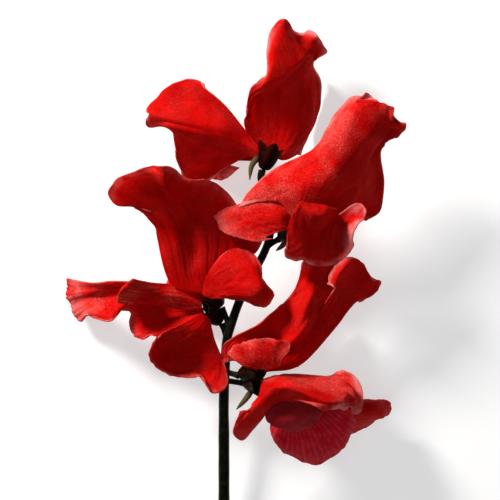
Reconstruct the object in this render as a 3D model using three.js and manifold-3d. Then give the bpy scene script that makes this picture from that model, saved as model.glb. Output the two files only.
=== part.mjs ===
import * as THREE from 'three';
import { mergeVertices } from 'three/addons/utils/BufferGeometryUtils.js';
import Module from 'manifold-3d';

// A cut spray of sweet pea that lies on a table: one bare stem with six open blooms, each on
// a short stalk of its own. Millimetres, +Z up. +Y runs from the cut end to the uppermost
// bloom, and Z is 0 on the table. Every bloom has a calyx with five teeth, a standard (the
// large petal at the back), two wings and a keel between the wings.

// Driving dimensions
const BLADE = 0.64; // thickness of a petal
const AIR = 0.34; // clear space kept between neighbouring pieces
const STEM_RADIUS = { cut: 1.56, top: 0.95 };
const STALK_RADIUS = { joint: 0.72, bloom: 0.95 };
const CALYX = { base: 1.15, waist: 2.3, mouth: 2.75, wall: 0.6, cup: 0.48, tooth: 0.35, teeth: 5 };
const SEPAL_RADIUS = { root: 0.8, tip: 0.32 };
const PLAN_SHIFT = [4.5, 17.1]; // from the drawing's middle to the middle of the whole spray

// Steps of the faceted sheets, across the petal and along its veins
const STEPS = {
  standard: { across: 14, along: 7 },
  wing: { across: 9, along: 6 },
  keel: { across: 6, along: 4 },
  tooth: 4,
};

// Waves of the petal margins: height in millimetres, waves across the petal, and where they start
const WAVES = {
  standard: { height: 0.45, count: 2.3, phase: 0.6 },
  wing: { height: 0.3, count: 2.2, phase: 1.9 },
  keel: { height: 0, count: 1, phase: 0 },
};

// Routes, one point per bend: x, y on the table and z of the middle of the stem or stalk
const STEM_ROUTE = [
  [-6.6, -91.8, 1.5], [-6.6, -77.5, 3.2], [-6.6, -62.5, 5.2], [-6.6, -47.5, 7.4], [-6.6, -37.5, 9],
  [-6.2, -27.5, 10.4], [-5.8, -22.5, 11], [-4.5, -18, 11.5], [-2.5, -12.5, 12], [0.5, -6.2, 12.3],
  [3, -1.8, 12.5], [4.5, 1.8, 12.7], [5.2, 5.5, 12.8], [5, 10, 13], [3.8, 14.5, 13.6],
  [2.8, 17.8, 14.4], [3, 19.8, 15.2],
];
const STALK_ROUTES = {
  upper_left: [[-5.2, -19.5, 11.5], [-6.2, -16.5, 11.4], [-7.2, -14.5, 11.5]],
  lower_left: [[-5.8, -22.8, 11], [-6.5, -20.2, 10.6], [-7.1, -18.5, 10.5]],
  upper_right: [[4.2, 0.8, 12.7], [6, 2, 12.8], [7.5, 2.8, 13]],
  lower_right: [[-6.4, -30.5, 10], [-4.8, -31, 11.2], [-2.8, -31.5, 12.2]],
  bottom: [[-6.5, -32.8, 9.7], [-4, -33.2, 9.8], [-1.5, -33.5, 10.4]],
};

// Long bent-back sepals of three of the calyces, from the cup to the tip
const LONG_SEPALS = {
  top: [[2.8, 24, 14.6], [0.5, 21.2, 15.8], [-0.1, 17.5, 16.6]],
  upper_right: [[9.5, 3.2, 15.6], [8.2, 1.2, 15.2], [6.5, -0.2, 14.4]],
  bottom: [[0.5, -35.2, 12.2], [-1.2, -37.5, 12.8], [-3.4, -40, 12.6]],
};

// The blooms. Each petal is a net of ribs: the first row is its claw in the calyx, the last
// its outer margin, and every row runs from one side edge to the other. The calyx is given
// by the middle of its base and the middle of its mouth.
const BLOOMS = {
  top: {
    calyx: [[3.5, 20.2, 15.5], [4.9, 24.9, 13.9]],
    standard: [
      [[3.8, 25, 11.6], [4.8, 24.8, 12.2], [5.5, 23.8, 13.2]],
      [[0.2, 27.2, 12.5], [3.5, 30, 12.5], [7.5, 30.5, 11], [10, 27.5, 10.5], [8.5, 22.5, 12]],
      [
        [-1.5, 31.5, 14], [2, 36.5, 14.6], [7.5, 38.8, 12], [12.5, 37.5, 8], [15, 31.2, 6],
        [12, 24.2, 6],
      ],
      [
        [-1, 34.2, 14.8], [0.5, 38.8, 15.4], [3.2, 41.5, 15], [6.5, 46.5, 15.4], [8.8, 52, 15.6],
        [11.2, 52, 10.8], [13.8, 51.2, 12.6], [15.5, 49.5, 8.6], [15.5, 46, 6], [16.8, 40, 3],
        [16.2, 32, 2], [12.2, 24.2, 4.4],
      ],
      [
        [-0.8, 35.5, 15.2], [0, 40, 16.4], [2.2, 42.5, 16.8], [4.2, 44.2, 16], [4.2, 50, 14.6],
        [5.2, 54.2, 13.4], [7, 57, 13.6], [8.5, 57.8, 15.5], [10, 57, 16.4], [11.5, 55.1, 12.6],
        [13.2, 54.8, 11.4], [14.8, 55.4, 12.6], [16.8, 53.8, 14], [18, 52, 10.6], [19.2, 50, 8],
        [15.5, 47.5, 7], [16.5, 46, 3], [18, 43, 1.5], [17.8, 36, 0.1], [15.8, 30.5, 0.6],
        [12.5, 24.2, 3],
      ],
    ],
    wing_near: [
      [[3.2, 24.8, 14.2], [2.8, 24, 14.4], [2.5, 23, 13.6]],
      [[-0.8, 29.5, 12.6], [-1.8, 27, 14.8], [-0.5, 23.5, 11.5]],
      [[-6, 36, 11], [-8.2, 31, 16.2], [-8.5, 26.5, 13], [-5.5, 21.2, 7.5]],
      [
        [-11, 40.5, 11], [-14.5, 41.8, 11.2], [-18.5, 40.5, 11.4], [-22, 37.8, 12], [-24, 35.2, 14],
        [-23, 33.5, 15.4], [-21.2, 32, 14.8], [-18.8, 30.5, 16], [-17.5, 27, 12], [-17, 22.5, 8],
        [-15, 19, 5.6], [-9.8, 18, 4.6],
      ],
      [
        [-11.5, 41.5, 10.4], [-13.5, 42.8, 10.2], [-16, 42.9, 10.4], [-19.2, 41.8, 10.4],
        [-22.2, 39.5, 10.8], [-24, 37, 10.6], [-26, 36.2, 10], [-26.2, 34.8, 12.4], [-25, 34, 14.4],
        [-26, 33, 13], [-25.5, 31.2, 10.6], [-23, 31.1, 12.4], [-19.8, 30.8, 15.2], [-19, 27, 11.5],
        [-18.2, 22.5, 8], [-16.2, 18, 5], [-10.2, 17.5, 4],
      ],
    ],
    wing_far: [
      [[3, 24.5, 11], [2.5, 23.5, 10.6], [2.5, 22.8, 11]],
      [[0, 29, 8.5], [-1, 26, 6.5], [0.5, 22.5, 8.6]],
      [[-5, 33.8, 4], [-7, 28.8, 3], [-7, 22.5, 4.5]],
      [
        [-9.5, 37.5, 1], [-13.8, 35, 0], [-15.5, 28.8, 0], [-13.5, 22.5, 0], [-10, 18.5, 1.2],
        [-6.5, 18, 3.6], [-2.5, 20.8, 7.4],
      ],
    ],
    keel: [
      [[3, 23.8, 12.7], [2.5, 23, 12.3], [3, 22.5, 11.6]],
      [[-1, 27, 11.6], [-1.5, 24.2, 10.4], [-0.8, 25.8, 8.4]],
      [[-5.2, 30.5, 10.8], [-5.8, 25, 8.2], [-5, 29.8, 5.4]],
      [[-10, 31.5, 8.6], [-10.5, 28.2, 7], [-9.8, 31, 4.6]],
    ],
  },
  upper_right: {
    calyx: [[7.8, 3, 12.9], [10.9, 6.1, 16.5]],
    standard: [
      [[10.8, 7.5, 19.2], [12, 7.8, 19.2], [13, 7, 18.2]],
      [[7.5, 11.8, 19.8], [12.5, 15, 24.6], [18, 16, 26.4], [22.5, 13.5, 23], [22, 8.5, 19.4]],
      [
        [3, 12, 18.4], [7.5, 17.5, 21], [14, 21.5, 23.5], [20, 23.5, 26.5], [24.5, 22.5, 26],
        [28, 17.5, 20], [28, 11.2, 15.5], [25.5, 8.2, 15],
      ],
      [
        [-2, 11, 18.2], [0, 13.8, 17.6], [4, 17.2, 18], [11, 21.5, 19.5], [18, 25.8, 21.5],
        [20.8, 29.2, 22.5], [22.8, 32.8, 24], [25.5, 35.5, 25.8], [29, 35.5, 26.5], [32.5, 34, 26],
        [34.5, 31.2, 24], [33.2, 28, 22], [31, 25, 19.5], [31, 21, 17], [31.8, 15.8, 13],
        [31.2, 10.8, 12], [27.8, 7.8, 13.4],
      ],
      [
        [-3, 11, 18], [-1, 14.2, 17], [3, 17.8, 17], [10, 22, 18], [17, 26, 19.5], [19.2, 29.8, 20],
        [20.8, 32.8, 20.6], [23, 35.8, 22], [24.8, 37.8, 23.6], [26.8, 38.2, 25.2], [28.5, 37.8, 26.4],
        [29.8, 38.4, 24.6], [31, 37.2, 26.6], [32.2, 36.1, 24.8], [33.8, 35.6, 27], [35.5, 35.1, 24.8],
        [35.2, 33.2, 26.4], [36, 31.2, 24], [37.2, 31, 25.4], [38.2, 31.8, 25.8], [38.5, 30.5, 24],
        [37.5, 29, 21.5], [35.8, 27.8, 22.4], [33.8, 26.5, 20], [32.5, 25, 20], [32.8, 21.5, 17],
        [33.8, 16.2, 12], [33, 10, 11], [29, 7.2, 13],
      ],
    ],
    wing_near: [
      [[12, 5.5, 18.4], [12.8, 6, 19.4], [13.5, 7, 19.6]],
      [
        [9.8, 5.8, 26.6], [11, 9.2, 28], [12.2, 11.5, 27.6], [14.5, 11.4, 25.4], [17.5, 11, 25.4],
        [20.8, 10, 24.6],
      ],
      [
        [9.2, 4.2, 26.4], [10.5, 7, 28.2], [13, 9.2, 28.8], [15.8, 8.8, 29.6], [18.5, 8.6, 28.4],
        [21.2, 9.2, 24.4],
      ],
      [[9, 1.8, 25.2], [12, 2, 25.6], [15.8, 3, 24.8], [19.2, 5, 22.6], [21.5, 9.2, 22.4]],
      [
        [8.8, 0.5, 24.6], [10.2, -0.8, 23.8], [13, -0.5, 23.8], [16.8, -1.5, 22.2], [19.5, -1, 19.8],
        [20.8, 1.8, 19.2], [21.2, 5.5, 19.8], [22.5, 9.2, 22],
      ],
      [
        [8.5, 0.2, 24.4], [8.8, -1.8, 23.2], [11.2, -2.8, 22.4], [13, -2.2, 22.4], [15.2, -3.5, 21.6],
        [18, -4, 20.4], [21.5, -3.5, 18.6], [23.8, -1.8, 21], [25.2, 0.2, 23.4], [25.5, 2.5, 24.4],
        [26, 4.5, 25.2], [26.8, 6.2, 25.8], [28, 7.8, 26.2], [28.5, 9.5, 26.2], [27.8, 11.1, 25.4],
        [26.2, 11.5, 24.6], [24.8, 10.9, 23.8],
      ],
    ],
    wing_far: [
      [[10.5, 7, 18.2], [10.5, 6, 17.4], [11.2, 5, 16.8]],
      [[10, 11, 18.6], [7, 7.8, 20.2], [8.2, 4.8, 19.8]],
      [[3, 13.5, 17], [1.2, 8, 19.4], [3.5, 3, 20.2]],
      [
        [-2.5, 11.2, 16.8], [-7.5, 10, 16.6], [-9.2, 8.8, 16.8], [-8.2, 7, 17.4], [-7.2, 4.8, 18],
        [-4.5, 3.5, 19], [-1.2, 2.6, 19.8], [2, 2, 20.2], [5.5, 2.8, 20.2],
      ],
    ],
    keel: [
      [[12.5, 6.8, 18.2], [12.2, 6, 17.6], [12.8, 5.8, 17.2]],
      [[12.5, 7, 23], [11.5, 4.5, 21.4], [13.2, 5, 19]],
      [[16.5, 7.2, 24.4], [15, 3.5, 21.6], [17.5, 6, 19.4]],
      [[20.2, 7.5, 24], [19.2, 4.5, 21.8], [20.8, 6.8, 20.4]],
    ],
  },
  upper_left: {
    calyx: [[-7.4, -14.1, 11.6], [-9.9, -10.8, 13.2]],
    standard: [
      [[-12.5, -10.8, 14.2], [-11.5, -10.8, 14.8], [-10.2, -9.5, 14.4]],
      [
        [-19.8, -8.5, 15], [-16.5, -8.5, 15.2], [-12.5, -6.8, 15.6], [-8.5, -4.5, 14.8],
        [-4.2, -4, 13.4],
      ],
      [
        [-23, 2.5, 17.4], [-21, 5.5, 20], [-19, 6.5, 20.2], [-15.5, 6, 16.8], [-11.5, 5.2, 17],
        [-7, 4, 15], [-2.5, -2, 13.6],
      ],
      [
        [-23.2, 8.5, 21], [-26, 9.5, 21.5], [-28.5, 11, 22.4], [-29.8, 13, 24], [-28.2, 15, 26],
        [-25.2, 16.5, 26.8], [-23.2, 16.8, 26.4], [-21, 16.5, 27.8], [-19, 15.2, 24.2],
        [-16.5, 13.5, 22.6], [-12.5, 12.5, 20.2], [-8, 10.5, 17], [-4, 7.5, 15.2], [-1, 3.5, 14.8],
        [0, 0.5, 14.7], [-1.8, -1.8, 14.3],
      ],
      [
        [-25, 9.5, 22.4], [-28.8, 10.8, 22.6], [-33, 11.2, 22], [-35, 13.8, 23], [-33.5, 16.8, 25.6],
        [-30, 18.5, 27.4], [-25.8, 20.2, 28], [-23.5, 20.8, 27.2], [-21.5, 20.8, 28.8],
        [-19, 20.2, 25.2], [-16.5, 18.2, 24], [-14, 17.2, 23.5], [-10.8, 17.5, 20.5], [-7.5, 16, 18],
        [-4.8, 13.5, 16], [-2.2, 9.8, 15], [0.8, 7, 14.8], [2.8, 4.5, 14.7], [3.2, 2.5, 14.9],
        [2.5, 0.8, 14.9], [1.2, -1, 14.8], [-1, -2.2, 14.4],
      ],
    ],
    wing_near: [
      [[-11.5, -10.2, 15.8], [-11, -11, 16.2], [-10.2, -11.8, 15.8]],
      [[-11, -6.8, 16.7], [-7.5, -6.5, 19.6], [-6, -9.5, 19.8], [-8.2, -12.2, 17]],
      [[-8, -2.2, 16.4], [-3, -3, 20], [0, -7.5, 22.4], [-2.5, -11.2, 18.6]],
      [
        [-5.8, -0.2, 16.2], [-3.5, 0.4, 16.4], [-1, 0, 16.6], [1.2, -1.2, 16.6], [2.5, -4, 17.6],
        [3.2, -7, 19], [5, -9.5, 19], [6.1, -11.8, 17.5], [4, -14, 16.5], [0, -13.2, 16.5],
        [-4.5, -12.2, 15.8],
      ],
    ],
    wing_far: [
      [[-12, -11, 13], [-11.5, -11.8, 12.8], [-10.8, -12, 13]],
      [[-15, -8.5, 11.6], [-16, -10.2, 10.8], [-14.5, -12.5, 10.8]],
      [[-18, -7, 8], [-19.5, -10, 6], [-17.5, -14, 7]],
      [[-19.5, -6.2, 5], [-21.5, -9, 2], [-22, -12.2, 0], [-19.2, -15.2, 0], [-15, -16, 4]],
    ],
    keel: [
      [[-10.8, -10.5, 14.8], [-10.5, -11, 14.2], [-11, -10.2, 13.7]],
      [[-7, -7, 17.6], [-6.5, -9.8, 16.2], [-7.5, -7.8, 14.6]],
      [[-3.5, -4.5, 18], [-2.5, -8.2, 16.4], [-3.2, -5, 14.8]],
      [[-1, -3.5, 17.2], [0, -5.5, 16.2], [-0.8, -3.8, 15.2]],
    ],
  },
  lower_left: {
    calyx: [[-7.2, -18.2, 10], [-11.1, -15, 11.4]],
    standard: [
      [[-11.2, -12.5, 11.8], [-12, -13.5, 12.8], [-12, -14.5, 12.8]],
      [[-14.5, -10, 12.4], [-15, -12.5, 14], [-15.2, -14.8, 13]],
      [[-18.2, -8.8, 12.8], [-18.2, -11.5, 14.8], [-18.2, -14.8, 12.6]],
      [[-25.2, -8, 17.6], [-25.5, -10.8, 17], [-25.8, -13.5, 12.8]],
      [[-29, -7.1, 21], [-32, -10, 21], [-33, -13.2, 15]],
      [[-27.8, -7.8, 14], [-29.8, -10.5, 13], [-30.8, -13.6, 10]],
      [[-34.5, -7.9, 12.5], [-36, -11.8, 8.5], [-34.8, -17.4, 13.5]],
      [[-40, -8.2, 10], [-40.5, -12.5, 7.5], [-39.5, -17.1, 10]],
      [
        [-46.5, -7.2, 3.5], [-46.4, -11.8, 3], [-45, -15.8, 3.5], [-43.2, -18, 3.8],
        [-41.5, -16.1, 6.5],
      ],
    ],
    wing_near: [
      [[-12, -15.8, 13.6], [-11.2, -16.5, 13.6], [-10.2, -16.8, 12.8]],
      [[-16, -18, 17.5], [-13, -20, 16.5], [-9.2, -21.5, 13.5]],
      [[-21.5, -20.5, 18.5], [-17.5, -24.5, 14.5], [-12.5, -26, 13.2], [-7.8, -25, 12.8]],
      [
        [-22.5, -21.5, 18.6], [-23.5, -24.5, 17], [-22.2, -27.8, 12.6], [-18.5, -29.8, 10.4],
        [-14, -29.8, 10.4], [-10, -31, 11.6], [-8, -30, 12], [-6.8, -27.5, 12.4],
      ],
      [
        [-23.2, -21.5, 18.6], [-25, -24.5, 18], [-24.8, -27.5, 15.4], [-22.5, -30.2, 13.4],
        [-18.8, -31.8, 12.6], [-14.5, -32, 12.8], [-11.8, -31.8, 13.4], [-10.5, -33.8, 14.6],
        [-9.2, -35.8, 14], [-7, -35.5, 13], [-5.5, -33.5, 12.4], [-6, -30, 12.6],
      ],
    ],
    wing_far: [
      [[-12.8, -14.2, 11.8], [-12.8, -15, 12], [-12.5, -15.8, 11.7]],
      [[-18.5, -13.5, 10.6], [-17.5, -16.5, 10.6], [-15.5, -19.2, 14.6]],
      [[-24.5, -13, 10.8], [-24.5, -16, 8.6], [-23.5, -19, 10.2], [-22.2, -21.5, 14.2]],
      [
        [-30.8, -13.4, 7.2], [-33, -13.8, 8.4], [-32.5, -15.2, 8.4], [-30.2, -15.8, 8],
        [-30.5, -18, 7.6], [-30.2, -20.2, 8.2], [-29, -21.8, 9], [-27.2, -22.4, 10],
        [-25, -21.5, 12.3], [-23, -21.8, 13.3],
      ],
    ],
    keel: [
      [[-12, -15.5, 11.8], [-11.5, -16.2, 11.2], [-12.2, -15.8, 10.6]],
      [[-15, -18.5, 12.5], [-14.5, -21, 10.8], [-14.2, -19, 9.4]],
      [[-19, -20.8, 11], [-17.8, -23.8, 9.6], [-18.2, -21.2, 7.6]],
      [[-22, -23.2, 8.2], [-21, -25.2, 7.4], [-21.8, -23.8, 6.2]],
    ],
  },
  lower_right: {
    calyx: [[-2.5, -31.5, 12.3], [1.5, -29.8, 14.4]],
    standard: [
      [[1.5, -28.8, 13.6], [2.5, -29, 14.2], [3.5, -29.8, 13.8]],
      [
        [-1, -28.5, 13.2], [0.5, -25, 15], [4, -23, 15], [8, -22, 14.6], [10.5, -21.2, 17],
        [12.5, -21, 18.2], [13.8, -23.2, 14.2], [12.5, -26.5, 12.2], [10.5, -28.5, 12.4],
      ],
      [
        [-4, -27.8, 12.8], [-3.5, -24, 15.2], [0.5, -20.5, 17], [6, -16.5, 15], [9.5, -15.2, 13.8],
        [12.5, -13.5, 17.6], [15, -12.2, 20.4], [18, -13.2, 16], [20, -17, 11.6], [17, -21.5, 10.4],
        [12, -28, 11.3],
      ],
      [
        [-5.5, -28.2, 12.6], [-5.2, -24, 14.4], [-1, -20.5, 17.2], [4.5, -16.8, 16.8], [9, -14, 14],
        [11.5, -10.8, 15.6], [14, -8, 18.8], [17.5, -7.5, 15.8], [21, -8.8, 12.8], [22.5, -12, 11.4],
        [21, -17.5, 10.4], [18, -21.8, 10], [13.2, -27.2, 10.8],
      ],
      [
        [-6.8, -29, 12.4], [-7.2, -26.2, 12.6], [-6.8, -24, 14], [-2.5, -20.8, 17], [3, -17.2, 18],
        [8.5, -13.2, 14.6], [10.8, -10, 14.8], [12.5, -7, 17.5], [13, -3, 20.4], [16.5, -1.5, 20],
        [21.5, -2.5, 16.4], [25, -5, 13], [25, -10, 11], [24, -15.5, 10], [22, -17.8, 9.8],
        [18.8, -21.8, 9.6], [14.5, -26.5, 10], [12.2, -29.5, 11],
      ],
    ],
    wing_near: [
      [[3.2, -29, 15.2], [3.8, -29.8, 15.2], [3.8, -30.5, 14.6]],
      [[9.8, -25.5, 15.8], [11.8, -27, 15.2], [12.2, -29, 13.8]],
      [[16.5, -16.5, 16.4], [19.5, -17.8, 15], [20, -21.2, 12.2]],
      [[20.2, -10.5, 18.6], [23.5, -11.5, 15], [25, -14.8, 12.8]],
      [
        [20.8, -9.2, 20.6], [21.8, -6.5, 22], [23.5, -4.5, 22.2], [25.5, -3.2, 20.8],
        [27.2, -3.8, 18.2], [28.5, -5.5, 15.8], [29.8, -7.2, 14.4], [31, -8.8, 12.9],
        [29.8, -10.5, 12.3], [26.8, -13, 12.4],
      ],
      [
        [19.5, -8.5, 19], [20, -5.5, 20], [22, -3.2, 20.6], [24.2, -1.8, 20.4], [26, -1.9, 19],
        [28, -3.5, 16.6], [28.5, -5.5, 15], [30.5, -7, 13.6], [33, -8, 12], [31.2, -10.8, 11.8],
        [27.5, -13.2, 12.2],
      ],
    ],
    wing_far: [
      [[1.8, -30, 16.2], [2.2, -29.5, 16.8], [3, -29.8, 16.8]],
      [[-1, -29.2, 16.6], [1.5, -27.5, 18.8], [5, -27.5, 19.6], [7, -29, 18.6]],
      [[-3.2, -27.8, 16], [0.5, -25, 19.2], [5, -25, 20.6], [8.2, -26.8, 20]],
      [
        [-5.5, -26, 14.8], [-4, -23.8, 15.6], [-2.5, -23.4, 17.4], [-0.5, -22.5, 18.2],
        [1.8, -22.1, 19.8], [4.5, -21.8, 20.6], [7.2, -22.4, 21.4], [9.8, -22.8, 21.6],
        [9.8, -25, 20.8],
      ],
    ],
    keel: [
      [[3.5, -29.8, 13], [4, -30.2, 12.4], [3.8, -29.8, 11.8]],
      [[9, -26, 11], [10.5, -27.5, 9.6], [9.5, -26.5, 7.3]],
      [[15.5, -19, 10.2], [17.5, -20.8, 8], [16, -19.2, 5.6]],
      [[20, -14, 10], [21.2, -15, 8], [20.2, -14.2, 6.4]],
    ],
  },
  bottom: {
    calyx: [[-1.2, -33.5, 10.5], [2.2, -33.5, 13]],
    standard: [
      [[3, -32.2, 13.6], [3, -33, 15], [2.8, -34, 15.4]],
      [
        [4.5, -34, 9], [6.5, -31.5, 14], [8.5, -32.2, 20], [7.5, -34, 22], [4, -35.2, 20],
        [2, -36.8, 17],
      ],
      [
        [8, -35.5, 6.5], [11, -31.2, 13], [15, -32.8, 19], [13.5, -34.5, 24], [9, -34, 25],
        [4, -34.8, 23], [0.5, -37.8, 19.5],
      ],
      [
        [12.5, -36, 4], [18, -32.8, 8], [22, -32, 15], [25, -34, 19], [25.8, -36.5, 21],
        [24.2, -35.2, 22], [22.5, -36.8, 23], [18.8, -37.5, 25], [15, -36.5, 25.8],
        [11.8, -35.1, 26.4], [8.5, -34.5, 26], [5, -35.2, 24.5], [2.2, -37, 22.5], [-0.5, -39.2, 21],
      ],
      [
        [15, -36, 3], [21.5, -34.5, 6], [23.5, -30.5, 14], [26.5, -32, 17], [28, -36, 18],
        [27.8, -39.8, 18.5], [26, -41, 19], [25, -39, 17], [23.8, -40.2, 16.8], [22.2, -39.5, 20.5],
        [20, -39.5, 24.5], [17.8, -39.4, 25.5], [15.5, -38.5, 26], [13.2, -37.9, 25],
        [11, -37.4, 23.8], [8.8, -37, 22.6], [6.5, -37.5, 21.2], [4.2, -38.8, 18.6],
        [2.5, -40.8, 16.5], [1.8, -43.5, 14.5], [-1.8, -47.5, 14], [-4, -46, 18.5],
        [-3.5, -42.8, 20.3], [-2.5, -40, 20.8],
      ],
    ],
    wing_near: [
      [[3, -34.5, 12.8], [3.5, -34.8, 12.8], [4, -34.2, 12.8]],
      [[4.5, -37.5, 12.8], [7.5, -39, 14.6], [12.5, -38, 15.8], [15.5, -36, 16]],
      [[5.5, -41, 13.4], [10, -45, 15.2], [15.5, -45.5, 16], [20.5, -42.5, 16], [22.5, -38.5, 15.6]],
      [
        [5, -43.5, 13], [5.2, -46, 12], [6.8, -48.8, 11], [9, -51.2, 10], [12.5, -53.2, 9],
        [17.5, -54, 8], [21, -51.8, 9], [23.8, -49.5, 10], [25.2, -47, 12], [26.5, -43.5, 13.6],
        [25.5, -40.5, 14.6],
      ],
    ],
    wing_far: [
      [[3.8, -33.2, 13.2], [3.8, -33.8, 12.6], [3.2, -34, 12.2]],
      [[12.5, -36.5, 12], [14, -38.5, 13], [13, -40.5, 11]],
      [[21.2, -37.5, 11.4], [22.8, -41, 12.6], [21.2, -44.5, 9]],
      [
        [28, -38, 12.4], [29, -37.6, 12], [32, -37.8, 10.4], [35, -38.2, 8.4], [35.6, -40.2, 6.6],
        [34.2, -42.5, 4.6], [32, -43.2, 4.4], [29.5, -45.2, 1.6], [25.5, -46.8, 0],
      ],
    ],
    keel: [
      [[3, -34.2, 14.4], [3.2, -34.8, 14.2]],
      [[3.5, -37.5, 15.5], [7, -37.8, 17.2], [11.5, -37.5, 18.6]],
      [[3.2, -39.5, 17], [7.5, -41.5, 19.8], [12.5, -41, 19.8], [17.5, -38.2, 18]],
      [
        [3.5, -40.8, 17], [5.2, -43.5, 17.8], [10, -45.1, 17.6], [14.5, -44.2, 17.8],
        [17.5, -41.5, 18], [19, -39.2, 18],
      ],
    ],
  },
};

const RED = { color: 0xb80f10, roughness: 0.55, metalness: 0 };
const KEEL_RED = { color: 0x8c1c26, roughness: 0.6, metalness: 0 };
const STEM_GREEN = { color: 0x1a2413, roughness: 0.5, metalness: 0 };
const CALYX_GREEN = { color: 0x353a1c, roughness: 0.6, metalness: 0 };

const wasm = await Module();
wasm.setup();

const vector = ([x, y, z]) => new THREE.Vector3(x, y, z);

// A smooth line through the given points
function lineThrough(points) {
  return new THREE.CatmullRomCurve3(points.map(vector), false, 'catmullrom', 0.5);
}

// The middle surface of a petal: rows of points, each row spread evenly over its length
function petalSheet(net, { across, along }, wave) {
  const ribs = net.map((row) => {
    const line = lineThrough(row);
    return Array.from({ length: across + 1 }, (_, i) => line.getPointAt(i / across));
  });
  const columns = Array.from({ length: across + 1 }, (_, i) => {
    return new THREE.CatmullRomCurve3(ribs.map((rib) => rib[i]), false, 'catmullrom', 0.5);
  });
  const sheet = [];
  for (let j = 0; j <= along; j += 1) {
    sheet.push(columns.map((column) => column.getPoint(j / along)));
  }
  return waved(sheet, wave);
}

// Waves that start a third of the way up and are highest at the margin
function waved(sheet, { height, count, phase }) {
  const normals = sheetNormals(sheet);
  const last = sheet.length - 1;
  return sheet.map((row, j) => row.map((point, i) => {
    const rise = Math.max(0, (j / last - 0.34) / 0.66) ** 2;
    const turn = 2 * Math.PI * count * (i / (row.length - 1)) + phase;
    return point.clone().addScaledVector(normals[j][i], height * rise * Math.sin(turn));
  }));
}

// Unit normals of a sheet at its points
function sheetNormals(sheet) {
  const lastRow = sheet.length - 1;
  return sheet.map((row, j) => row.map((point, i) => {
    const along = sheet[Math.min(j + 1, lastRow)][i].clone().sub(sheet[Math.max(j - 1, 0)][i]);
    const across = row[Math.min(i + 1, row.length - 1)].clone().sub(row[Math.max(i - 1, 0)]);
    return across.cross(along).normalize();
  }));
}

// The same sheet with its edges pushed outwards, so that a fatter blade clears its margins too
function widened(sheet, extra) {
  const lastRow = sheet.length - 1;
  const lastColumn = sheet[0].length - 1;
  const outward = (edge, inner) => edge.clone().sub(inner).normalize().multiplyScalar(extra);
  return sheet.map((row, j) => row.map((point, i) => {
    const moved = point.clone();
    if (i === 0) moved.add(outward(point, row[1]));
    if (i === lastColumn) moved.add(outward(point, row[i - 1]));
    if (j === 0) moved.add(outward(point, sheet[1][i]));
    if (j === lastRow) moved.add(outward(point, sheet[j - 1][i]));
    return moved;
  }));
}

// A blade of even thickness on a sheet, split into triangles alike on both faces
function bladeGeometry(sheet, thickness, normals = sheetNormals(sheet)) {
  const rows = sheet.length;
  const columns = sheet[0].length;
  const positions = [];
  for (const side of [0.5, -0.5]) {
    sheet.forEach((row, j) => row.forEach((point, i) => {
      positions.push(...point.clone().addScaledVector(normals[j][i], side * thickness).toArray());
    }));
  }
  const upper = (j, i) => j * columns + i;
  const lower = (j, i) => rows * columns + j * columns + i;
  const faces = [];
  const square = (a, b, c, d) => faces.push(a, b, c, a, c, d);
  for (let j = 0; j < rows - 1; j += 1) {
    for (let i = 0; i < columns - 1; i += 1) {
      square(upper(j, i), upper(j, i + 1), upper(j + 1, i + 1), upper(j + 1, i));
      faces.push(lower(j, i), lower(j + 1, i + 1), lower(j, i + 1));
      faces.push(lower(j, i), lower(j + 1, i), lower(j + 1, i + 1));
    }
  }
  const rim = [];
  for (let i = 0; i < columns - 1; i += 1) rim.push([0, i]);
  for (let j = 0; j < rows - 1; j += 1) rim.push([j, columns - 1]);
  for (let i = columns - 1; i > 0; i -= 1) rim.push([rows - 1, i]);
  for (let j = rows - 1; j > 0; j -= 1) rim.push([j, 0]);
  rim.forEach(([j, i], k) => {
    const [nextJ, nextI] = rim[(k + 1) % rim.length];
    square(lower(j, i), lower(nextJ, nextI), upper(nextJ, nextI), upper(j, i));
  });
  return indexedGeometry(positions, faces);
}

function indexedGeometry(positions, faces) {
  const geometry = new THREE.BufferGeometry();
  geometry.setAttribute('position', new THREE.Float32BufferAttribute(positions, 3));
  geometry.setIndex(faces);
  return geometry;
}

// A round stem along a route, thinning from its start to its end, with flat ends
function stalkGeometry(route, radiusAt, sides, steps) {
  const line = lineThrough(route);
  const frames = line.computeFrenetFrames(steps, false);
  const positions = [];
  const faces = [];
  for (let k = 0; k <= steps; k += 1) {
    const centre = line.getPointAt(k / steps);
    const radius = radiusAt(k / steps);
    for (let s = 0; s < sides; s += 1) {
      const turn = (2 * Math.PI * s) / sides;
      const point = centre.clone();
      point.addScaledVector(frames.normals[k], radius * Math.cos(turn));
      point.addScaledVector(frames.binormals[k], radius * Math.sin(turn));
      positions.push(...point.toArray());
    }
  }
  for (let k = 0; k < steps; k += 1) {
    for (let s = 0; s < sides; s += 1) {
      const next = (s + 1) % sides;
      const [a, b] = [k * sides + s, k * sides + next];
      faces.push(a, b, b + sides, a, b + sides, a + sides);
    }
  }
  for (let s = 1; s < sides - 1; s += 1) {
    faces.push(0, s + 1, s);
    faces.push(steps * sides, steps * sides + s, steps * sides + s + 1);
  }
  return indexedGeometry(positions, faces);
}

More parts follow.
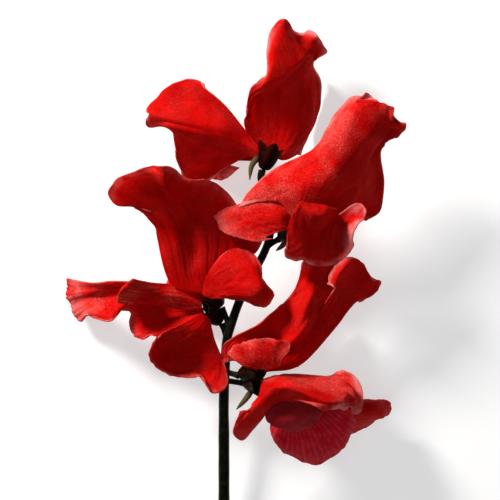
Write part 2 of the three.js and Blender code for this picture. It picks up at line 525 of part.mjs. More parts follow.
// A thin cup with pointed teeth, open at the mouth, round the line from its base to its mouth
function calyxGeometry([base, mouth], wall, sink) {
  const from = vector(base);
  const axis = vector(mouth).sub(from);
  const length = axis.length();
  axis.normalize();
  const side = new THREE.Vector3(0, 0, 1).cross(axis).normalize();
  const up = axis.clone().cross(side);
  const sides = CALYX.teeth * STEPS.tooth;
  const levels = [0, 0.3, 0.62, 1];
  const positions = [];
  const faces = [];
  const radiusAt = (v) => {
    const cup = THREE.MathUtils.lerp(CALYX.base, CALYX.waist, Math.sin((v * Math.PI) / 2));
    return cup + (CALYX.mouth - CALYX.waist) * v ** 3;
  };
  for (const inner of [false, true]) {
    for (const v of levels) {
      for (let s = 0; s < sides; s += 1) {
        const toothShare = 1 - Math.abs(2 * ((s / STEPS.tooth) % 1) - 1);
        const top = length * (CALYX.cup + 0.35) + length * CALYX.tooth * toothShare;
        const bottom = inner ? wall : -sink;
        const height = THREE.MathUtils.lerp(bottom, top, v);
        const radius = radiusAt(v) + (inner ? -wall / 2 : wall / 2) * (inner && v === 0 ? 0.6 : 1);
        const turn = (2 * Math.PI * s) / sides;
        const point = from.clone().addScaledVector(axis, height);
        point.addScaledVector(side, radius * Math.cos(turn));
        point.addScaledVector(up, radius * Math.sin(turn));
        positions.push(...point.toArray());
      }
    }
  }
  const outer = (r, s) => r * sides + (s % sides);
  const inner = (r, s) => (levels.length + r) * sides + (s % sides);
  const top = levels.length - 1;
  for (let s = 0; s < sides; s += 1) {
    for (let r = 0; r < top; r += 1) {
      faces.push(outer(r, s), outer(r, s + 1), outer(r + 1, s + 1));
      faces.push(outer(r, s), outer(r + 1, s + 1), outer(r + 1, s));
      faces.push(inner(r, s), inner(r + 1, s + 1), inner(r, s + 1));
      faces.push(inner(r, s), inner(r + 1, s), inner(r + 1, s + 1));
    }
    faces.push(outer(top, s), outer(top, s + 1), inner(top, s + 1));
    faces.push(outer(top, s), inner(top, s + 1), inner(top, s));
  }
  for (let s = 1; s < sides - 1; s += 1) {
    faces.push(outer(0, 0), outer(0, s + 1), outer(0, s));
    faces.push(inner(0, 0), inner(0, s), inner(0, s + 1));
  }
  return indexedGeometry(positions, faces);
}

// A closed geometry as a solid that can be cut and joined, and back
function solidOf(geometry) {
  const bare = geometry.clone();
  bare.deleteAttribute('normal');
  bare.deleteAttribute('uv');
  const merged = mergeVertices(bare);
  const vertProperties = new Float32Array(merged.attributes.position.array);
  const triVerts = new Uint32Array(merged.index.array);
  const solid = new wasm.Manifold(new wasm.Mesh({ numProp: 3, vertProperties, triVerts }));
  if (solid.volume() > 0) return solid;
  const turned = triVerts.slice();
  for (let t = 0; t < turned.length; t += 3) {
    [turned[t + 1], turned[t + 2]] = [triVerts[t + 2], triVerts[t + 1]];
  }
  return new wasm.Manifold(new wasm.Mesh({ numProp: 3, vertProperties, triVerts: turned }));
}

function geometryOf(solid) {
  const { vertProperties, triVerts } = solid.getMesh();
  const geometry = indexedGeometry(Array.from(vertProperties), Array.from(triVerts));
  geometry.computeVertexNormals();
  return geometry;
}

// The largest body of a solid, without the scraps that a cut leaves
function mainBody(solid) {
  return solid.decompose().sort((a, b) => b.volume() - a.volume())[0];
}

// What is left of a solid where it keeps clear of the fatter forms of the pieces placed before
function clearOf(solid, fatForms) {
  let left = solid;
  for (const fat of fatForms) {
    if (left.intersect(fat).isEmpty()) continue;
    left = left.subtract(fat);
  }
  return mainBody(left);
}

// The table: everything below it is cut away, which leaves small flat resting spots
function tableSolid() {
  const table = new THREE.BoxGeometry(400, 400, 20);
  table.translate(0, 0, -10);
  return solidOf(table);
}

// The stem and its stalks are one grown piece
function stemSolid(fatten) {
  const taper = ({ cut, top }) => (v) => THREE.MathUtils.lerp(cut, top, v) + fatten;
  let solid = solidOf(stalkGeometry(STEM_ROUTE, taper(STEM_RADIUS), 10, 30));
  for (const route of Object.values(STALK_ROUTES)) {
    const radius = taper({ cut: STALK_RADIUS.joint, top: STALK_RADIUS.bloom });
    solid = solid.add(solidOf(stalkGeometry(route, radius, 8, 6)));
  }
  return solid;
}

const PETALS = [
  { part: 'standard', kind: 'standard', look: RED },
  { part: 'wing_near', kind: 'wing', look: RED },
  { part: 'wing_far', kind: 'wing', look: RED },
  { part: 'keel', kind: 'keel', look: KEEL_RED },
];

const spray = new THREE.Group();
spray.position.set(PLAN_SHIFT[0], PLAN_SHIFT[1], 0);

function addPiece(name, solid, look) {
  const mesh = new THREE.Mesh(geometryOf(solid), new THREE.MeshStandardMaterial(look));
  mesh.name = name;
  spray.add(mesh);
}

const table = tableSolid();
const fatForms = [stemSolid(AIR)];
const plainFatForms = [stemSolid(AIR)];
addPiece('stem', stemSolid(0).subtract(table), STEM_GREEN);

for (const { part, kind, look } of PETALS) {
  for (const [bloom, nets] of Object.entries(BLOOMS)) {
    const sheet = petalSheet(nets[part], STEPS[kind], WAVES[kind]);
    const blade = solidOf(bladeGeometry(sheet, BLADE)).subtract(table);
    addPiece(`${bloom}_${part}`, clearOf(blade, fatForms), look);
    const fatBlade = (air) => bladeGeometry(widened(sheet, air), BLADE + 2 * air, sheetNormals(sheet));
    plainFatForms.push(solidOf(fatBlade(AIR)));
    fatForms.push(plainFatForms.at(-1).add(solidOf(fatBlade(AIR / 2))));
  }
}

for (const [bloom, nets] of Object.entries(BLOOMS)) {
  let cup = solidOf(calyxGeometry(nets.calyx, CALYX.wall, 0));
  if (LONG_SEPALS[bloom]) {
    const sepalRadius = (v) => THREE.MathUtils.lerp(SEPAL_RADIUS.root, SEPAL_RADIUS.tip, v);
    cup = cup.add(solidOf(stalkGeometry(LONG_SEPALS[bloom], sepalRadius, 6, 4)));
  }
  addPiece(`${bloom}_calyx`, clearOf(cup.subtract(table), plainFatForms), CALYX_GREEN);
  plainFatForms.push(solidOf(calyxGeometry(nets.calyx, CALYX.wall + 2 * AIR, AIR)));
}

export default spray;
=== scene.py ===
# %% [markdown]
# # A cut spray of sweet pea, petal by petal
# Six open blooms sit on short stalks along one bare stem, which was cut and laid on a pale
# table. Every bloom has four kinds of part: a small dark calyx, one large standard petal,
# two wings, and a keel between the wings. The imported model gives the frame, and each of its
# plain solids is replaced here by a finer piece of the same form.

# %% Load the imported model
import math

import bpy
import numpy as np
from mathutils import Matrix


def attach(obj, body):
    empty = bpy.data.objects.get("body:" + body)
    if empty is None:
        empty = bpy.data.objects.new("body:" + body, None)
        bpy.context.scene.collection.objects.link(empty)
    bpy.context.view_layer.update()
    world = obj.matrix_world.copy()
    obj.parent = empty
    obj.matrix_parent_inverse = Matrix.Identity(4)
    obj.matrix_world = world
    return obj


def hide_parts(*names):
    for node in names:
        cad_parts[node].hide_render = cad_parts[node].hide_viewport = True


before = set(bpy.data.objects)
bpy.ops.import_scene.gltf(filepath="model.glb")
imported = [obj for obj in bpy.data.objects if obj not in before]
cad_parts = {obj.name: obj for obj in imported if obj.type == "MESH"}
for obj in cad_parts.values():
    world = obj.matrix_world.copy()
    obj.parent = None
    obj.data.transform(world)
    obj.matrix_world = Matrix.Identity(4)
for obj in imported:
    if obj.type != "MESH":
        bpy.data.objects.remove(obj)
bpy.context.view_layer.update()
bpy.ops.object.select_all(action="DESELECT")
print("The packed model has", len(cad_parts), "nodes")

# %% [markdown]
# ## Where things are
# The spray was drawn from above in millimetres, on a plan whose zero is the middle of the
# picture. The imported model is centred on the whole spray, stem end included, so every point
# of the plan is shifted by the same amount, and then turned into metres.

# %% Plan to metres
MM = 0.001
PLAN_SHIFT = np.array([4.5, 17.1, 0.0])


def to_metres(points):
    """Plan points in millimetres as metres in the model's frame"""
    return (np.asarray(points, float) + PLAN_SHIFT) * MM


print("Plan zero lies at", to_metres([0, 0, 0]))

# %% [markdown]
# ## The camera
# The spray lies on the table, so the camera looks straight down on it, with the stem's cut end
# at the bottom. A long lens from far away keeps the blooms in proportion. The picture is as
# wide as 125 mm at the height of the petals.

# %% Camera
VIEW_WIDTH = 125 * MM
CAMERA_DISTANCE = 700 * MM
PETAL_HEIGHT = 15 * MM
SENSOR_WIDTH = 36

camera_data = bpy.data.cameras.new("camera")
camera_data.sensor_width = SENSOR_WIDTH
camera_data.lens = SENSOR_WIDTH * CAMERA_DISTANCE / VIEW_WIDTH
camera = bpy.data.objects.new("camera", camera_data)
bpy.context.scene.collection.objects.link(camera)
camera.location = to_metres([0, 0, 0])
camera.location.z = PETAL_HEIGHT + CAMERA_DISTANCE
bpy.context.scene.camera = camera
bpy.context.scene.view_settings.view_transform = "Standard"
print("Lens", round(camera_data.lens), "mm")

# %% [markdown]
# ## Light and floor
# The key light stands low at the upper left, so that every fold of a petal shows as a lit
# side and a deep red side. A wide soft light overhead and a pale surrounding fill the rest.
# Places and sizes are in millimetres on the plan.

# %% Light and floor
KEY_SIZE, KEY_POWER, KEY_PLACE = 140, 8.3, [-420, 430, 340]
FILL_SIZE, FILL_POWER, FILL_PLACE = 600, 1.05, [60, -40, 700]
WARM_WHITE = (1.0, 0.97, 0.93)
COOL_WHITE = (0.94, 0.97, 1.0)
ROOM_COLOUR = (0.9, 0.93, 1.0, 1)
ROOM_STRENGTH = 0.1
FLOOR_SIZE = 6
FLOOR_DROP = 0.2 * MM


def soft_light(name, size, power, place, colour):
    """A square area light at a place in millimetres on the plan, aimed at the blooms"""
    data = bpy.data.lights.new(name, "AREA")
    data.size = size * MM
    data.energy = power
    data.color = colour
    light = bpy.data.objects.new(name, data)
    bpy.context.scene.collection.objects.link(light)
    light.location = to_metres(place)
    aim = light.location - camera.location
    aim.z = light.location.z - PETAL_HEIGHT
    light.rotation_euler = aim.to_track_quat("Z", "Y").to_euler()


soft_light("key_light", KEY_SIZE, KEY_POWER, KEY_PLACE, WARM_WHITE)
soft_light("fill_light", FILL_SIZE, FILL_POWER, FILL_PLACE, COOL_WHITE)

world = bpy.data.worlds.new("pale_room")
world.use_nodes = True
room = world.node_tree.nodes["Background"]
room.inputs["Color"].default_value = ROOM_COLOUR
room.inputs["Strength"].default_value = ROOM_STRENGTH
bpy.context.scene.world = world

bpy.ops.mesh.primitive_plane_add(size=FLOOR_SIZE, location=(0, 0, -FLOOR_DROP))
floor = bpy.context.active_object
floor.name = "table_top"
print("Two lights and a table top")

# %% [markdown]
# ## Sums for the finishes
# A finish is a small network of shader nodes. Written node by node it is hard to read, so a
# wrapper lets its sums be written as ordinary arithmetic: each operator adds a Math node.

# %% Shader helpers
# A Mix node has a set of sockets for each type of value: these are its factor and its colours.
MIX_FACTOR, MIX_FIRST, MIX_SECOND, MIX_RESULT = 0, 6, 7, 2


class Number:
    """A shader value that takes part in ordinary sums"""

    def __init__(self, finish, socket):
        self.finish = finish
        self.socket = socket

    def math(self, operation, *others):
        values = dict(enumerate([self, *others]))
        return self.finish.node("ShaderNodeMath", {"operation": operation}, values)

    def __add__(self, other):
        return self.math("ADD", other)

    __radd__ = __add__

    def __mul__(self, other):
        return self.math("MULTIPLY", other)

    __rmul__ = __mul__

    def __sub__(self, other):
        return self.math("SUBTRACT", other)

    def __rsub__(self, other):
        return self.finish.node("ShaderNodeMath", {"operation": "SUBTRACT"}, {0: other, 1: self})

    def __pow__(self, other):
        return self.math("POWER", other)

    def wave(self):
        return self.math("SINE")

    def between(self, low, high):
        """0 below low, 1 above high and a smooth rise from one to the other"""
        settings = {"interpolation_type": "SMOOTHSTEP"}
        values = {"Value": self, "From Min": low, "From Max": high, "To Min": 0.0, "To Max": 1.0}
        return self.finish.node("ShaderNodeMapRange", settings, values)


class Finish:
    """A material that is built by adding nodes to one Principled shader"""

    def __init__(self, name, **constants):
        self.material = bpy.data.materials.new(name)
        self.material.use_nodes = True
        self.tree = self.material.node_tree
        self.shader = self.tree.nodes["Principled BSDF"]
        for socket, value in constants.items():
            self.shader.inputs[socket.replace("_", " ")].default_value = value

    def node(self, kind, settings=None, values=None, output=0):
        """Adds a node, sets its settings first and then its sockets, and gives one output"""
        made = self.tree.nodes.new(kind)
        for setting, value in (settings or {}).items():
            setattr(made, setting, value)
        for socket, value in (values or {}).items():
            self.plug(made.inputs[socket], value)
        return Number(self, made.outputs[output])

    def plug(self, socket, value):
        if isinstance(value, Number):
            self.tree.links.new(value.socket, socket)
        else:
            socket.default_value = value

    def feed(self, **values):
        """Links values to the shader's own sockets"""
        for socket, value in values.items():
            self.plug(self.shader.inputs[socket.replace("_", " ")], value)

    def along_petal(self):
        """How far across the petal and how far along its veins, each from 0 to 1"""
        uv = self.node("ShaderNodeUVMap", {"uv_map": "UVMap"})
        across = self.node("ShaderNodeSeparateXYZ", values={0: uv}, output=0)
        along = self.node("ShaderNodeSeparateXYZ", values={0: uv}, output=1)
        return across, along

    def grain(self, size, detail=2.0, roughness=0.5):
        """Noise in the object's own space, with grains of about the given size in millimetres"""
        place = self.node("ShaderNodeTexCoord", output="Object")
        scale = 1 / (size * MM)
        values = {"Vector": place, "Scale": scale, "Detail": detail, "Roughness": roughness}
        return self.node("ShaderNodeTexNoise", values=values)

    def blend(self, share, first, second):
        """A colour between two colours"""
        values = {MIX_FACTOR: share, MIX_FIRST: first, MIX_SECOND: second}
        return self.node("ShaderNodeMix", {"data_type": "RGBA"}, values, MIX_RESULT)

    def bump(self, height, distance, strength):
        """Small relief for the shader's normal, its greatest height in millimetres"""
        values = {"Height": height, "Distance": distance * MM, "Strength": strength}
        return self.node("ShaderNodeBump", values=values)


print("Shader helpers are ready")

# %% [markdown]
# ## The finish of the petals
# A sweet pea petal is velvety: tiny domed cells catch the light as fine pink glints, veins fan
# out from the claw and fork towards the margin, the margin itself is paler in places and
# catches a pink sheen, and the thin flesh glows where light comes through it. The glints and
# the sheen are painted highlights, pale grains and a pale wash in the colour, and subsurface
# light gives the glow. The veins and the rim follow the petal's own map, so that they bend with
# each fold. The skin mirrors very little, or its dark sides would turn grey with the table.

# %% Petal finishes
RED_DEEP = (0.34, 0.0008, 0.0008, 1)
RED_BRIGHT = (0.58, 0.003, 0.002, 1)
RED_PAINTED_SHEEN = (0.72, 0.09, 0.075, 1)
RIM_PINK_AND_SHEEN = (0.86, 0.3, 0.29, 1)
SKIN_SHEEN = {"IOR": 1.05, "Specular_IOR_Level": 0.6, "Specular_Tint": (1.0, 0.5, 0.45, 1)}
SKIN_GLOW = {
    "Subsurface_Weight": 0.3,
    "Subsurface_Radius": (1.0, 0.12, 0.08),
    "Subsurface_Scale": 0.9 * MM,
}
MANY_VEINS = 130.0
VEIN_FORK = 2.2
RIM_START = 0.84
SIDE_RIM = 0.02
CELL_SIZE = 0.4
CELL_RELIEF = 0.09
CRINKLE = 0.75


def vein_lines(finish, across, along, count):
    """Main veins, and side veins that fork off halfway, broken up and bent by two drifts"""
    drift = finish.grain(6.0, 3.0)
    fine_drift = finish.grain(1.6, 2.0)
    bent = across + (drift - 0.5) * 0.05 + (fine_drift - 0.5) * 0.02
    main_veins = ((bent * count).wave() * 0.5 + 0.5) ** 7.0
    side_veins = ((bent * count * VEIN_FORK + drift * 7.0).wave() * 0.5 + 0.5) ** 5.0
    veins = main_veins * 0.7 + side_veins * along.between(0.35, 0.7) * 0.6
    return veins * finish.grain(2.4).between(0.3, 0.6)


def rim_share(finish, across, along):
    """How much a place belongs to the rim, which runs along the outer margin and the sides, and is
    paler with a painted sheen
    """
    outer = along.between(RIM_START, 1.0) ** 1.6
    to_side = across.math("PINGPONG", 0.5)
    margin = outer + to_side.math("LESS_THAN", SIDE_RIM) * along.between(0.4, 0.8)
    return margin.math("MINIMUM", 1.0) * finish.grain(4.5, 3.0).between(0.33, 0.55)


def petal_finish(
    name, colours, *, veins, glint_share, sheen_share, rim, crinkle=CRINKLE, shaded_half_fade=0.0, count=MANY_VEINS
):
    """Velvety flesh, with how much its veins, its painted glints, its painted sheen and its pink
    rim with painted sheen show
    """
    deep, bright, sheen_colour, vein_colour = colours
    finish = Finish(name, **SKIN_SHEEN, **SKIN_GLOW)
    across, along = finish.along_petal()
    lines = vein_lines(finish, across, along, count)
    blotches = finish.grain(5.0, 4.0, 0.6).between(0.32, 0.68)
    patches = finish.grain(7.0, 3.0, 0.55).between(0.38, 0.66)
    cells = finish.grain(CELL_SIZE, 2.0, 0.7).between(0.47, 0.67)
    # Painted highlight: pale glints in the colour, where the cells would catch the light
    painted_glints = cells * (patches * 0.75 + 0.25)
    # Painted sheen: a pale wash in patches, stronger towards the margin
    painted_sheen_patches = (along.between(0.45, 1.05) * 0.65 + 0.35) * patches
    # Painted light: the glints, the sheen and the rim fade out across the petal on the half that
    # lies in shade
    lit_half = 1.0 - across.between(0.4, 0.7) * shaded_half_fade
    # Painted shade: the flesh turns deeper red towards the claw; the blotches are its own uneven
    # tone
    flesh = finish.blend(blotches * 0.55 + along * 0.25, deep, bright)
    veined = finish.blend(lines * veins, flesh, vein_colour)
    sheened_colour = finish.blend((painted_glints * glint_share + painted_sheen_patches * sheen_share) * lit_half, veined, sheen_colour)
    # The rim is partly a paler margin and partly a painted sheen
    rim_pink_and_sheen = rim_share(finish, across, along) * (cells * 0.4 + 0.6) * lit_half * rim
    relief = cells * 0.6 + finish.grain(0.9, 3.0) * 0.8 - lines * 0.3
    finish.feed(
        Base_Color=finish.blend(rim_pink_and_sheen, sheened_colour, RIM_PINK_AND_SHEEN),
        Roughness=0.52 - cells * 0.14,
        Normal=finish.bump(relief, CELL_RELIEF, crinkle),
    )
    return finish.material


REDS = (RED_DEEP, RED_BRIGHT, RED_PAINTED_SHEEN, RED_DEEP)
RED_PETAL = petal_finish("red_petal", REDS, veins=0.2, glint_share=0.15, sheen_share=0.06, rim=0.22)
SHEEN_RIMMED_PETAL = petal_finish("sheen_rimmed_petal", REDS, veins=0.2, glint_share=0.15, sheen_share=0.06, rim=0.75)
print("Plain petals:", RED_PETAL.name, "and", SHEEN_RIMMED_PETAL.name)

# %% [markdown]
# Some petals carry more of the painted glints and sheen than others. On the sheen-painted ones
# this painted light covers the lit half and fades out across the petal towards the shaded half,
# and the folded petal has fewer and broader veins. The keel is duller and more pink than the
# other petals, and the broad wing of the bottom bloom is crimson with a fan of pale veins,
# whose pale colour also gives its painted sheen. All of them get the same finish with other
# colours and shares.

# %% Petals with painted glints and sheen, keel and veined wing
RED_PAINTED_GLINT = (0.8, 0.17, 0.14, 1)
REDS_WITH_PAINTED_GLINT = (RED_DEEP, RED_BRIGHT, RED_PAINTED_GLINT, RED_DEEP)
KEEL_DEEP = (0.26, 0.006, 0.01, 1)
KEEL_BRIGHT = (0.42, 0.02, 0.028, 1)
KEEL_PAINTED_SHEEN = (0.5, 0.1, 0.11, 1)
KEEL_REDS = (KEEL_DEEP, KEEL_BRIGHT, KEEL_PAINTED_SHEEN, KEEL_DEEP)
CRIMSON_DEEP = (0.44, 0.001, 0.008, 1)
CRIMSON_BRIGHT = (0.62, 0.003, 0.014, 1)
VEIN_PALE_AND_SHEEN = (0.66, 0.08, 0.11, 1)
CRIMSONS = (CRIMSON_DEEP, CRIMSON_BRIGHT, VEIN_PALE_AND_SHEEN, VEIN_PALE_AND_SHEEN)
FEW_VEINS = 42.0

PAINTED_SHEEN_PETAL = petal_finish(
    "painted_sheen_petal", REDS_WITH_PAINTED_GLINT, veins=0.22, glint_share=0.38, sheen_share=0.25, rim=0.7, shaded_half_fade=0.85
)
GLINT_PETAL = petal_finish(
    "glint_petal", REDS_WITH_PAINTED_GLINT, veins=0.2, glint_share=0.34, sheen_share=0.2, rim=0.22
)
FOLDED_PETAL = petal_finish(
    "folded_petal", REDS_WITH_PAINTED_GLINT, veins=0.1, glint_share=0.32, sheen_share=0.2, rim=0.42,
    crinkle=0.6, count=FEW_VEINS,
)
KEEL_PETAL = petal_finish(
    "keel_petal", KEEL_REDS, veins=0.3, glint_share=0.1, sheen_share=0.1, rim=0.05, crinkle=0.3
)
VEINED_PETAL = petal_finish(
    "veined_petal", CRIMSONS, veins=0.66, glint_share=0.05, sheen_share=0.08, rim=0.2, crinkle=0.5
)
SPECIAL_PETALS = [PAINTED_SHEEN_PETAL, GLINT_PETAL, FOLDED_PETAL, KEEL_PETAL, VEINED_PETAL]
print("Special petals:", ", ".join(special.name for special in SPECIAL_PETALS))

# %% [markdown]
# ## The finish of stem and calyx
# The stem is very dark green with fine grey-green streaks along it. The calyces are nearly
# black with a touch of maroon, lighter towards the tips of their teeth, and the uppermost one
# is the most maroon. Three of them have a long sepal that is paler and more tan. On that sepal
# the map runs from 1 to 2, so that the finish can tell it from the cup.

# %% Green finishes
WAXY, DULL = 1.15, 1.07


def green_finish(name, dark, light, streaks, bright_tips, sepal=None, shine=WAXY):
    """Waxy green skin, streaked along its length, and paler on a long sepal"""
    finish = Finish(name, IOR=shine, Specular_Tint=(0.85, 0.8, 0.55, 1))
    around, along = finish.along_petal()
    drift = finish.grain(3.0, 3.0)
    lines = ((around * streaks + drift * 3.0).wave() * 0.5 + 0.5) ** 3.0
    patches = finish.grain(2.2, 4.0, 0.6).between(0.45, 0.75)
    share = lines * 0.45 * patches + patches * 0.2 + along.between(0.35, 1.0) * bright_tips
    skin = finish.blend(share, dark, light)
    if sepal:
        skin = finish.blend(along.between(1.05, 1.4) * (lines * 0.4 + 0.5), skin, sepal)
    finish.feed(
        Base_Color=skin,
        Roughness=0.42 + patches * 0.2,
        Normal=finish.bump(lines * 0.6 + finish.grain(0.35) * 0.7, 0.06, 0.6),
    )
    return finish.material


STEM_DARK = (0.0015, 0.002, 0.001, 1)
STEM_LIGHT = (0.03, 0.038, 0.022, 1)
CALYX_DARK = (0.005, 0.0013, 0.0008, 1)
CALYX_LIGHT = (0.042, 0.013, 0.006, 1)
MAROON_DARK = (0.005, 0.0004, 0.0003, 1)
MAROON_LIGHT = (0.05, 0.0035, 0.002, 1)
SEPAL_TAN = (0.13, 0.105, 0.045, 1)
STEM_STREAKS = 88.0
CALYX_STREAKS = 126.0

STEM_SKIN = green_finish("stem_skin", STEM_DARK, STEM_LIGHT, STEM_STREAKS, 0.0)
CALYX_SKIN = green_finish("calyx_skin", CALYX_DARK, CALYX_LIGHT, CALYX_STREAKS, 0.2, SEPAL_TAN)
MAROON_CALYX = green_finish(
    "maroon_calyx_skin", MAROON_DARK, MAROON_LIGHT, CALYX_STREAKS, 0.3, SEPAL_TAN, DULL
)
print("Green finishes:", STEM_SKIN.name, CALYX_SKIN.name, MAROON_CALYX.name)

# %% [markdown]
# ## The table
# The table is plain and pale. It glows a little by itself, so that it stays nearly white under
# the low light that the petals need, and keeps only a soft grey shadow.

# %% Table paint
TABLE_GREY = (0.5, 0.5, 0.5, 1)
TABLE_GLOW = 0.55

table_paint = Finish(
    "table_paint",
    Base_Color=TABLE_GREY,
    Roughness=0.8,
    Specular_IOR_Level=0.1,
    Emission_Color=(1, 1, 1, 1),
    Emission_Strength=TABLE_GLOW,
)
table_paint.feed(Normal=table_paint.bump(table_paint.grain(2.0), 0.02, 0.2))
floor.data.materials.append(table_paint.material)
print("The table has", table_paint.material.name)

# %% [markdown]
# ## Lines and sheets
# A petal is drawn as a net of ribs. Each row of points runs across the petal, the first at its
# claw and the last at its outer margin. Smooth lines go through the rows, and smooth lines
# join them the other way, which gives a sheet that can be as fine as the looks need. A petal
# could also be sculpted, but a net can be read off a picture and mended point by point.

# %% Smooth lines
FINE_STEPS = 40
TINY = 1e-9


def through(points, shares):
    """Points at even shares of the length of a smooth line through the given points"""
    points = np.asarray(points, float)
    last = len(points) - 1
    padded = np.vstack([2 * points[0] - points[1], points, 2 * points[-1] - points[-2]])
    steps = np.linspace(0, last, FINE_STEPS * last + 1)
    fine = smooth(padded, steps, last)
    lengths = np.linalg.norm(np.diff(fine, axis=0), axis=1)
    travelled = np.concatenate([[0], np.cumsum(lengths)])
    travelled /= travelled[-1]
    return np.stack([np.interp(shares, travelled, fine[:, k]) for k in range(3)], axis=1)


def smooth(padded, steps, last):
    """Points of the smooth line at places that count from 0 to last"""
    start = np.minimum(steps.astype(int), last - 1)
    part = (steps - start).reshape([-1] + [1] * (padded.ndim - 1))
    a, b, c, d = (padded[start + k] for k in range(4))
    slope = (c - a) * part
    bend = (2 * a - 5 * b + 4 * c - d) * part**2
    twist = (3 * b - a - 3 * c + d) * part**3
    return 0.5 * (2 * b + slope + bend + twist)


def petal_sheet(net, across, along):
    """The middle surface of a petal, as rows of points from its claw to its margin"""
    shares = np.linspace(0, 1, across + 1)
    ribs = np.array([through(row, shares) for row in net])
    padded = np.concatenate([[2 * ribs[0] - ribs[1]], ribs, [2 * ribs[-1] - ribs[-2]]])
    return smooth(padded, np.linspace(0, len(ribs) - 1, along + 1), len(ribs) - 1)


def sheet_normals(sheet):
    """Unit normals of a sheet"""
    along = np.gradient(sheet, axis=0)
    across = np.gradient(sheet, axis=1)
    normals = np.cross(across, along)
    return normals / np.maximum(np.linalg.norm(normals, axis=2, keepdims=True), TINY)


print("Lines and sheets are ready")

# %% [markdown]
# ## Waves and creases
# A live petal is never smooth. Its margin is ruffled in uneven waves, faint pleats run along
# its veins, and the flesh between is slightly crumpled. Each is a sum of a few sine waves with
# its own seed, and pushes the sheet along its normal. The very edge is also notched, which
# pushes it in and out within the sheet. Heights are in millimetres, and each list says how many
# waves fit across the petal, or along it.

# %% Waves of a petal
MARGIN_START = 0.35
RUFFLES = [2.2, 4.0]
FRILLS = [9.0, 15.0]
PLEATS = [6.0, 10.0, 17.0]
DIMPLES_ASLANT = [2.6, 4.3]
DIMPLES_ALONG = [2.1, 3.7]
NOTCH = 0.13
NOTCHES = [9.0, 16.0]
NOTCH_DEPTHS = [2.3, 3.7]
NOTCH_SEED = 500
PRESS_SOFTNESS = 0.25
WELL_ABOVE = 6


def uneven_wave(rng, place, counts):
    """A sum of sines with random phases and about the given numbers of waves, near -1 to 1"""
    total = np.zeros_like(place)
    for count in counts:
        count = count * rng.uniform(0.85, 1.15)
        total += np.sin(2 * np.pi * (count * place + rng.uniform(0, 1))) / math.sqrt(len(counts))
    return total


def live_surface(sheet, seed, ruffle, pleat, crumple):
    """The sheet with a ruffled and notched margin, pleats along its veins and a slight crumple"""
    rng = np.random.default_rng(seed)
    rows, columns = (np.linspace(0, 1, count) for count in sheet.shape[:2])
    along, across = np.meshgrid(rows, columns, indexing="ij")
    margin = np.clip((along - MARGIN_START) / (1 - MARGIN_START), 0, 1)
    sides = np.clip(np.abs(2 * across - 1) * 1.4 - 0.4, 0, 1) * np.clip(along * 1.6, 0, 1)
    edge = np.clip(margin**2 + 0.6 * sides**2, 0, 1)
    lift = ruffle * edge * uneven_wave(rng, across + 0.06 * along, RUFFLES)
    lift += ruffle * 0.22 * margin**6 * uneven_wave(rng, across, FRILLS)
    belly = np.sin(np.pi * np.clip(along, 0.02, 1) ** 0.8) * 0.7 + 0.3 * margin
    lift += pleat * belly * uneven_wave(rng, across, PLEATS)
    dimples = uneven_wave(rng, across * 1.7 + along, DIMPLES_ASLANT)
    dimples *= uneven_wave(rng, along, DIMPLES_ALONG)
    lift += crumple * np.clip(along * 2, 0, 1) * dimples
    outwards = np.gradient(sheet, axis=0)
    outwards /= np.maximum(np.linalg.norm(outwards, axis=2, keepdims=True), TINY)
    edge_rng = np.random.default_rng(seed + NOTCH_SEED)
    depth = NOTCH * margin**14 * uneven_wave(edge_rng, across, NOTCH_DEPTHS)
    notches = depth * uneven_wave(edge_rng, across, NOTCHES)
    return sheet + sheet_normals(sheet) * lift[:, :, None] + outwards * notches[:, :, None]


def rest_on_table(sheet, clearance):
    """Points that would sink into the table are pressed flat on it, with a smooth bend"""
    above = (sheet[:, :, 2] - clearance) / PRESS_SOFTNESS
    pressed = clearance + PRESS_SOFTNESS * np.logaddexp(0, above)
    sheet[:, :, 2] = np.where(above > WELL_ABOVE, sheet[:, :, 2], pressed)
    return sheet


print("Waves are ready")

# %% [markdown]
# ## From sheet to petal
# Each petal starts as a flat grid, which already has a tidy map for the veins. Its points are
# moved onto the sheet, and then it gets a wall that grows by the same amount to both sides of
# the sheet and is closed at its narrow edge. Smooth shading hides the small faces. A cloth
# simulation was not used, because these petals are stiff and keep the shape they grew in.

# %% Petal maker
PETAL_THICKNESS = 0.34
TABLE_CLEARANCE = PETAL_THICKNESS * 0.6


def flat_grid(name, across, along):
    """A flat grid with its own map, which is then shaped"""
    bpy.ops.object.select_all(action="DESELECT")
    bpy.ops.mesh.primitive_grid_add(x_subdivisions=across, y_subdivisions=along, size=1)
    made = bpy.context.active_object
    made.name = name
    made.data.name = name
    return made


def move_onto(piece, sheet):
    """Moves the points of a grid onto a sheet given in millimetres on the plan"""
    piece.data.vertices.foreach_set("co", to_metres(sheet.reshape(-1, 3)).ravel())
    piece.data.update()


def give_thickness(piece, thickness):
    """A blade of even thickness round the sheet"""
    solid = piece.modifiers.new("thickness", "SOLIDIFY")
    solid.thickness = thickness * MM
    solid.offset = 0
    solid.use_even_offset = False
    bpy.ops.object.modifier_apply(modifier=solid.name)


def finish_piece(piece, node, material):
    """Smooth shading, a finish, and the place of the CAD node that the piece stands for"""
    bpy.ops.object.shade_smooth()
    piece.data.materials.append(material)
    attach(piece, "root")
    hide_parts(node)
    return piece


def petal(node, net, fineness, seed, waves, material):
    """One petal in place of its CAD node"""
    sheet = live_surface(petal_sheet(net, *fineness), seed, *waves)
    piece = flat_grid(node + "_petal", *fineness)
    move_onto(piece, rest_on_table(sheet, TABLE_CLEARANCE))
    give_thickness(piece, PETAL_THICKNESS)
    finish_piece(piece, node, material)


print("Petal maker is ready")
